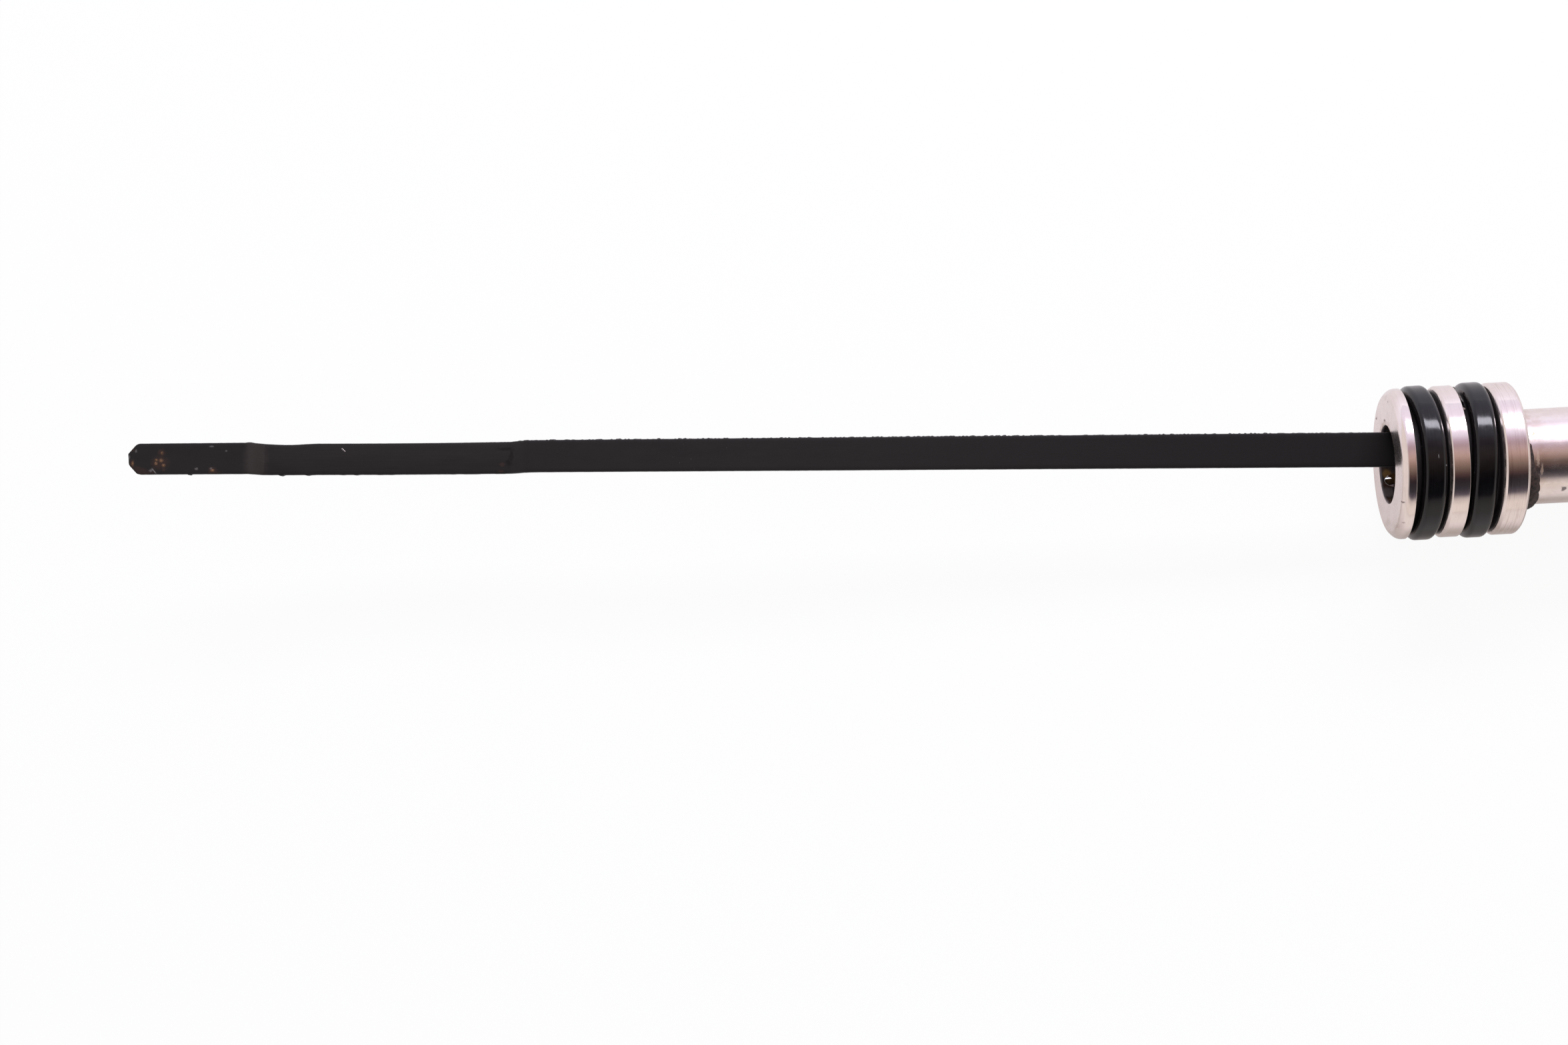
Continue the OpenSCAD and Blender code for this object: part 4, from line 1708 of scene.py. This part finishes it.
@dataclass
class BrazeBead:
    """The bead round the tube at the plug's back, thick on one side and burnt out on the other.

    toe holds how far it runs along the tube, as pairs of an angle in degrees from +Z towards +Y
    and a length.
    """

    shop: Workshop
    layout: Layout
    rise: float = 0.25
    sag: float = 0.5
    run: float = 2.6
    toe: tuple[tuple[float, float], ...] = (
        (-120.0, 2.5), (-71.0, 2.6), (-30.0, 2.0), (-18.0, 1.4), (8.0, 1.15), (16.0, 0.5), (35.0, 0.1),
        (90.0, 0.1), (180.0, 1.2))
    steps: int = 300

    def shell(self) -> Shell:
        """The bead's skin.

        Its thickness at an angle a from +Y is the rise less the sag times cos a, made ragged
        and held above zero. Its length along the tube follows the toe. Its section bulges: it
        falls from the plug's back as 1 less the fifth power of the share of the length.

        Returns:
            The closed skin.
        """
        s = self.layout
        angle = np.linspace(0.0, 2.0 * np.pi, self.steps, endpoint=False)
        teeth = ragged(angle / (2.0 * np.pi) * self.steps, 4.0, 23)
        thick = self.rise - self.sag * np.cos(angle) + 0.04 * wander(angle, 9, 5)
        thick = np.clip(thick * (0.90 + 0.18 * teeth), 0.012, self.rise + self.sag)[:, None]
        degrees, lengths = np.array(self.toe).T
        length = np.interp(90.0 - np.degrees(angle), degrees, lengths, period=360.0) * (1.0 - 0.06 * teeth)
        length = np.clip(length + 0.05 * wander(angle, 14, 8), 0.1, self.run)[:, None]
        share = np.linspace(0.0, 1.0, 18)
        lumps = 1.0 + 0.08 * wander(6.0 * share + 9.0 * angle[:, None], 4, 3)
        bulge = (1.0 - share ** 5) * np.clip(lumps, 0.6, 1.05)
        x = s.back + length * share
        radius = s.tube_r + np.clip(thick * bulge, 0.0, self.rise + self.sag)
        x = np.hstack([np.full_like(thick, s.back - 0.02), x, np.full_like(thick, s.back - 0.02)])
        radius = np.hstack([s.tube_r + thick, radius, np.full_like(thick, s.tube_r - 0.02)])
        return Shell.lofted(around(x, radius, angle[:, None]), wrap_rows=True)

    def build(self) -> None:
        """Makes the bead."""
        finish = BurntBraze(self.shop.lay).make()
        self.shop.piece("burnt_bead", self.shell(), finish, Slot.BRAZE, ["braze_bead"])


@dataclass
class PullHandle:
    """The moulded handle: a loop of rounded bars, a flared neck, a collar and a spigot."""

    shop: Workshop
    layout: Layout
    blade: GaugeBlade
    loop_w: float = 46.0
    loop_len: float = 40.0
    bar_w: float = 8.0
    bar_t: float = 9.0
    bar_round_r: float = 3.0
    corner_r: float = 6.0
    collar_lip: float = 0.5
    collar_len: float = 4.0
    neck_len: float = 6.0
    neck_step: float = 0.5
    neck_overlap: float = 0.4
    neck_rim: float = 0.12
    neck_power: float = 1.1
    flare_w: float = 3.0
    flare_len: float = 3.4
    flare_lead: float = 2.2
    spigot_gap: float = 0.05
    grid: float = 0.36
    steps: int = 96

    @property
    def loop_start(self) -> float:
        """Where the loop begins."""
        return self.layout.tube_end + self.collar_len + self.neck_len

    def loop(self) -> Shell:
        """The bars: a rounded section carried round a rounded path in the XY plane.

        The point is P + u N + v Z, with P and N the path's point and normal and (u, v) on the
        section's outline.

        Returns:
            The closed skin.
        """
        near = self.loop_start + self.bar_w / 2.0
        far = self.loop_start + self.loop_len - self.bar_w / 2.0
        side = (self.loop_w - self.bar_w) / 2.0
        path = rounded([(x, y, self.corner_r) for x, y in
                        ((near, side), (near, -side), (far, -side), (far, side))], 1.0, 16)
        ahead = np.roll(path, -1, axis=0) - np.roll(path, 1, axis=0)
        ahead /= np.linalg.norm(ahead, axis=1, keepdims=True)
        normal = np.stack([ahead[:, 1], -ahead[:, 0]], axis=1)
        u, v = self.bar_w / 2.0, self.bar_t / 2.0
        corners = [(a, b, self.bar_round_r) for a, b in ((u, v), (-u, v), (-u, -v), (u, -v))]
        outline = rounded(corners, 1.0, 8)
        flat = path[:, None] + outline[None, :, :1] * normal[:, None]
        level = np.broadcast_to(outline[None, :, 1:], (*flat.shape[:2], 1))
        return Shell.lofted(np.concatenate([flat, level], axis=2), wrap_rows=True)

    def stem(self) -> Shell:
        """The spigot, the collar and the neck, turned round the axis.

        The neck's radius falls from the collar's as a power of 1 - sin(pi t / 2), with t the
        share of its length, and its width alone grows again into the near bar, by the square
        of the share of the way.

        Returns:
            Both solids of revolution as one shell.
        """
        s = self.layout
        collar_r = s.tube_r + self.collar_lip
        neck_r = self.bar_t / 2.0 - self.neck_step
        neck_start = s.tube_end + self.collar_len
        spigot_r = s.bore_r - self.spigot_gap
        spigot_start = s.tube_end - s.spigot_len
        shoulder = s.tube_end + 0.01
        head = rounded([
            (spigot_start, 0.0, 0.01), (spigot_start, spigot_r, 0.5), (shoulder, spigot_r, 0.05),
            (shoulder, collar_r, 0.35), (neck_start, collar_r, 0.9), (neck_start, 0.0, 0.01)], 1.0)
        share = np.linspace(0.0, 1.0, 40)
        x = neck_start - self.neck_overlap
        x = x + (self.neck_len + self.neck_overlap + self.bar_w / 2.0) * share
        fall = 1.0 - np.sin(fade(x, neck_start, neck_start + self.neck_len) * np.pi / 2.0)
        radius = neck_r + (collar_r - self.neck_rim - neck_r) * fall ** self.neck_power
        flare = fade(x, self.loop_start - self.flare_lead,
                     self.loop_start - self.flare_lead + self.flare_len) ** 2 * self.flare_w
        x, radius, flare = (np.concatenate([[start], row, [end]]) for start, row, end in
                            ((x[0], x, x[-1]), (0.0, radius, 0.0), (0.0, flare, 0.0)))
        angle = np.linspace(0.0, 2.0 * np.pi, self.steps, endpoint=False)[:, None]
        neck = around(x, radius, angle)
        neck[..., 1] += flare * np.cos(angle)
        return turned(head, self.steps) + Shell.lofted(neck, wrap_rows=True)

    def build(self) -> None:
        """Makes the handle, remeshed and smoothed so that its parts run into each other."""
        s = self.layout
        finish = MouldedPlastic(self.shop.lay, self.loop_start).make()
        made = self.shop.piece("moulded_handle", self.loop() + self.stem(), finish, Slot.PLASTIC,
                               ["pull_handle"])
        skin = made.modifiers.new("skin", "REMESH")
        skin.mode = "VOXEL"
        skin.voxel_size = self.grid * MM
        skin.use_smooth_shade = True
        soften = made.modifiers.new("soften", "SMOOTH")
        soften.iterations = 5
        soften.factor = 0.5
        self.shop.settle(made)
        b = self.blade
        width = b.width / math.cos(b.lean) + 2.0 * s.pin_inset * math.tan(b.lean) + 2.0 * b.slot_gap
        half_gap = b.thickness / 2.0 + b.slot_gap
        start = s.tube_end - s.spigot_len
        self.shop.mill(made, (start - 1.0, -width / 2.0, -half_gap),
                       (start + 2.0 * s.pin_inset, width / 2.0, half_gap))
        self.shop.drill(made, (s.pin_x, 0.0, 0.0), b.pin_r, s.bore_r + 1.0)
        log.info("moulded_handle: %d faces when cut", len(made.data.polygons))


# Studio

@dataclass(frozen=True)
class PhotoCamera:
    """The camera, in the plug's frame."""

    lay: Lay
    eye: Point = (-51.741, -22.940, 223.750)
    turns_deg: Point = (-5.0, -8.35, 3.01)
    focal_px: float = 2540.0
    sensor_mm: float = 36.0
    clip_m: tuple[float, float] = (0.01, 20.0)

    def build(self) -> None:
        """Makes the camera the scene's own."""
        rx, ry, rz = (math.radians(a) for a in self.turns_deg)
        seen = Matrix.Rotation(rz, 3, "Z") @ Matrix.Rotation(ry, 3, "Y") @ Matrix.Rotation(rx, 3, "X")
        turn = Matrix(self.lay.turn().tolist()) @ seen.transposed()
        data = bpy.data.cameras.new("photo_camera")
        data.sensor_fit = "HORIZONTAL"
        data.sensor_width = self.sensor_mm
        data.lens = self.focal_px * self.sensor_mm / PHOTO_WIDTH
        data.clip_start, data.clip_end = self.clip_m
        camera = linked("photo_camera", data)
        place = self.lay.place(np.array(self.eye))
        camera.matrix_world = Matrix.Translation(place.tolist()) @ turn.to_4x4()
        bpy.context.scene.camera = camera


@dataclass(frozen=True)
class Tent:
    """A light tent: pale walls, a dark gap under the camera and a long soft lamp.

    The lamp's and the floor's sizes are metres. walls holds the walls' glow at angles round X
    in degrees, from straight up towards +Y, and ground the floor's at places along Y in
    millimetres, both as reflections see them. The floor's glow is darker under and beside the
    plug, deepest near -17 mm: a painted shadow that only reflections see.
    """

    floor_z: float
    fill: float = 0.50
    lamp_radiance: float = 15.0
    lamp_colour: Colour = (0.93, 0.90, 1.0)
    lamp_angle_deg: float = 52.0
    lamp_distance: float = 0.6
    lamp_x: float = 0.05
    lamp_size: tuple[float, float] = (0.6, 0.13)
    floor_colour: Colour = (0.92, 0.92, 0.92)
    floor_seen: float = 0.93
    floor_mirrored: float = 0.55
    floor_side: float = 9.0
    white: Colour = (1.0, 1.0, 1.0)
    walls: tuple[tuple[float, Colour], ...] = (
        (-90.0, (0.85, 0.78, 0.73)), (-76.0, (0.84, 0.77, 0.72)), (-66.0, (0.62, 0.56, 0.54)),
        (-60.0, (0.10, 0.085, 0.11)), (-50.0, (0.035, 0.033, 0.04)), (-34.0, (0.02, 0.014, 0.018)),
        (-26.0, (0.085, 0.048, 0.046)), (-17.0, (0.19, 0.135, 0.11)), (-8.0, (0.33, 0.225, 0.19)),
        (1.0, (0.52, 0.37, 0.33)), (9.0, (0.55, 0.40, 0.40)), (17.0, (0.44, 0.33, 0.37)),
        (24.0, (0.56, 0.44, 0.54)), (33.0, (0.86, 0.82, 0.98)), (76.0, (0.95, 0.90, 1.07)),
        (90.0, (0.93, 0.91, 1.08)))
    ends: Colour = (0.84, 0.78, 0.76)
    # the floor's glow for reflections; darker from -40 to 10 mm, deepest at -17 mm: a painted shadow of
    # the plug
    ground: tuple[tuple[float, Colour], ...] = (
        (-100.0, (0.88, 0.79, 0.74)), (-40.0, (0.84, 0.75, 0.70)), (-17.0, (0.50, 0.42, 0.39)),
        (-6.0, (0.74, 0.67, 0.66)), (10.0, (0.78, 0.72, 0.73)), (45.0, (0.92, 0.88, 1.0)),
        (100.0, (0.95, 0.93, 1.1)))

    def build(self) -> None:
        """Makes the world, the lamp and the floor."""
        self.light_world()
        self.hang_lamp()
        self.lay_floor()
        bpy.context.scene.view_settings.view_transform = "Standard"

    @staticmethod
    def glow_along(bench: Bench, place: Value,
                   stops: Sequence[tuple[float, Colour]]) -> bpy.types.NodeSocket:
        """A colour that changes along a line.

        Args:
            bench: The bench for the nodes.
            place: Where on the line, in the unit of the stops.
            stops: Places and their colours. The first and the last are as far from zero.

        Returns:
            The colour, joined by straight lines between the stops.
        """
        span = stops[-1][0] - stops[0][0]
        shares = [(where / span + 0.5, colour) for where, colour in stops]
        ramp = bench.node("ShaderNodeValToRGB", {"stops": shares}, {0: (place / span + 0.5).clamped()})
        return ramp.outputs[0]

    def light_world(self) -> None:
        """White to the camera, even fill to matte surfaces, and the tent to glossy ones.

        The tent's glow goes round X by its walls, and fades to the colour of the end walls
        along X.
        """
        world = bpy.data.worlds.new("light_tent")
        world.use_nodes = True
        bpy.context.scene.world = world
        bench = Bench(world.node_tree)
        x, y, z = bench.axes(bench.node("ShaderNodeTexCoord").outputs["Generated"])
        walls = self.glow_along(bench, y.angle_to(z) * math.degrees(1.0), self.walls)
        tent = bench.mix(abs(x).rising(0.55, 0.85), walls, self.ends)
        rays = bench.node("ShaderNodeLightPath")
        glossy = Value(bench, rays.outputs["Is Glossy Ray"])
        camera = Value(bench, rays.outputs["Is Camera Ray"])
        colour = bench.mix(glossy, (self.fill, self.fill, self.fill), tent)
        colour = bench.mix(camera, colour, self.white)
        glow = bench.node("ShaderNodeBackground", None, {"Color": colour, "Strength": 1.0})
        bench.node("ShaderNodeOutputWorld", None, {"Surface": glow.outputs[0]})

    def hang_lamp(self) -> None:
        """A long soft lamp over the far side. Its power is radiance times area times pi."""
        data = bpy.data.lights.new("long_lamp", "AREA")
        data.shape = "RECTANGLE"
        data.size, data.size_y = self.lamp_size
        data.energy = self.lamp_radiance * self.lamp_size[0] * self.lamp_size[1] * math.pi
        data.color = self.lamp_colour
        lamp = linked("long_lamp", data)
        angle = math.radians(self.lamp_angle_deg)
        away = self.lamp_distance
        lamp.location = (self.lamp_x, away * math.sin(angle), away * math.cos(angle))
        lamp.rotation_euler = (-angle, 0.0, 0.0)
        lamp.visible_camera = False

    def lay_floor(self) -> None:
        """A white floor that glows for the camera and for reflections and takes a soft shadow."""
        half = self.floor_side / 2.0
        mesh = bpy.data.meshes.new("floor")
        corners = [(-half, -half, self.floor_z), (half, -half, self.floor_z),
                   (half, half, self.floor_z), (-half, half, self.floor_z)]
        mesh.from_pydata(corners, [], [(0, 1, 2, 3)])
        floor = linked("floor", mesh)
        material, bench = new_bench("white_floor")
        rays = bench.node("ShaderNodeLightPath")
        seen = Value(bench, rays.outputs["Is Camera Ray"])
        mirrored = Value(bench, rays.outputs["Is Glossy Ray"])
        mirrored = mirrored.most(Value(bench, rays.outputs["Is Transmission Ray"])) * (1.0 - seen)
        matte = bench.node("ShaderNodeBsdfDiffuse", None, {"Color": self.floor_colour})
        y = bench.axes(bench.node("ShaderNodeTexCoord").outputs["Object"])[1]
        # reflections see the floor's glow along Y, with its painted shadow beside the plug
        colour = bench.mix(seen, self.glow_along(bench, y / MM, self.ground), self.white)
        glow = bench.node("ShaderNodeEmission", None, {"Color": colour, "Strength": 1.0})
        share = self.floor_seen * seen + self.floor_mirrored * mirrored
        both = bench.node("ShaderNodeMixShader", None,
                          {0: share, 1: matte.outputs[0], 2: glow.outputs[0]})
        bench.node("ShaderNodeOutputMaterial", None, {"Surface": both.outputs[0]})
        mesh.materials.append(material)
        floor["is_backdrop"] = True


def corners_of_box() -> list[list[float]]:
    """The shown object's lowest and highest corners, as plain lists."""
    return [list(corner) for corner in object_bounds()]


def main() -> None:
    """Builds the looks and reports each piece."""
    logging.basicConfig(level=logging.INFO, format="%(name)s %(message)s")
    sizes = {"cad": corners_of_box()}
    lay = Lay.packed(frame["record"])
    layout = Layout()
    shop = Workshop(lay)

    PhotoCamera(lay).build()
    Tent(floor_z=sizes["cad"][0][2] - FLOOR_GAP).build()

    blade = GaugeBlade(shop, layout)
    blade.build()
    TurnedPlug(shop, layout).build()
    rubber = SealRubber(lay).make()
    groove = layout.rear_groove + layout.groove_w / 2.0
    SealRing(shop, layout, "front_o_ring", -groove, FRONT_TWIST, 71, rubber).build()
    SealRing(shop, layout, "rear_o_ring", groove, REAR_TWIST, 83, rubber).build()
    BrazeBead(shop, layout).build()
    shop.dress("neck_tube", DrawnTube(lay, layout).make())
    PullHandle(shop, layout, blade).build()
    shop.dress("cross_pin", GroundSteel(lay).make())

    sizes["visual"] = corners_of_box()


if __name__ == "__main__":
    main()
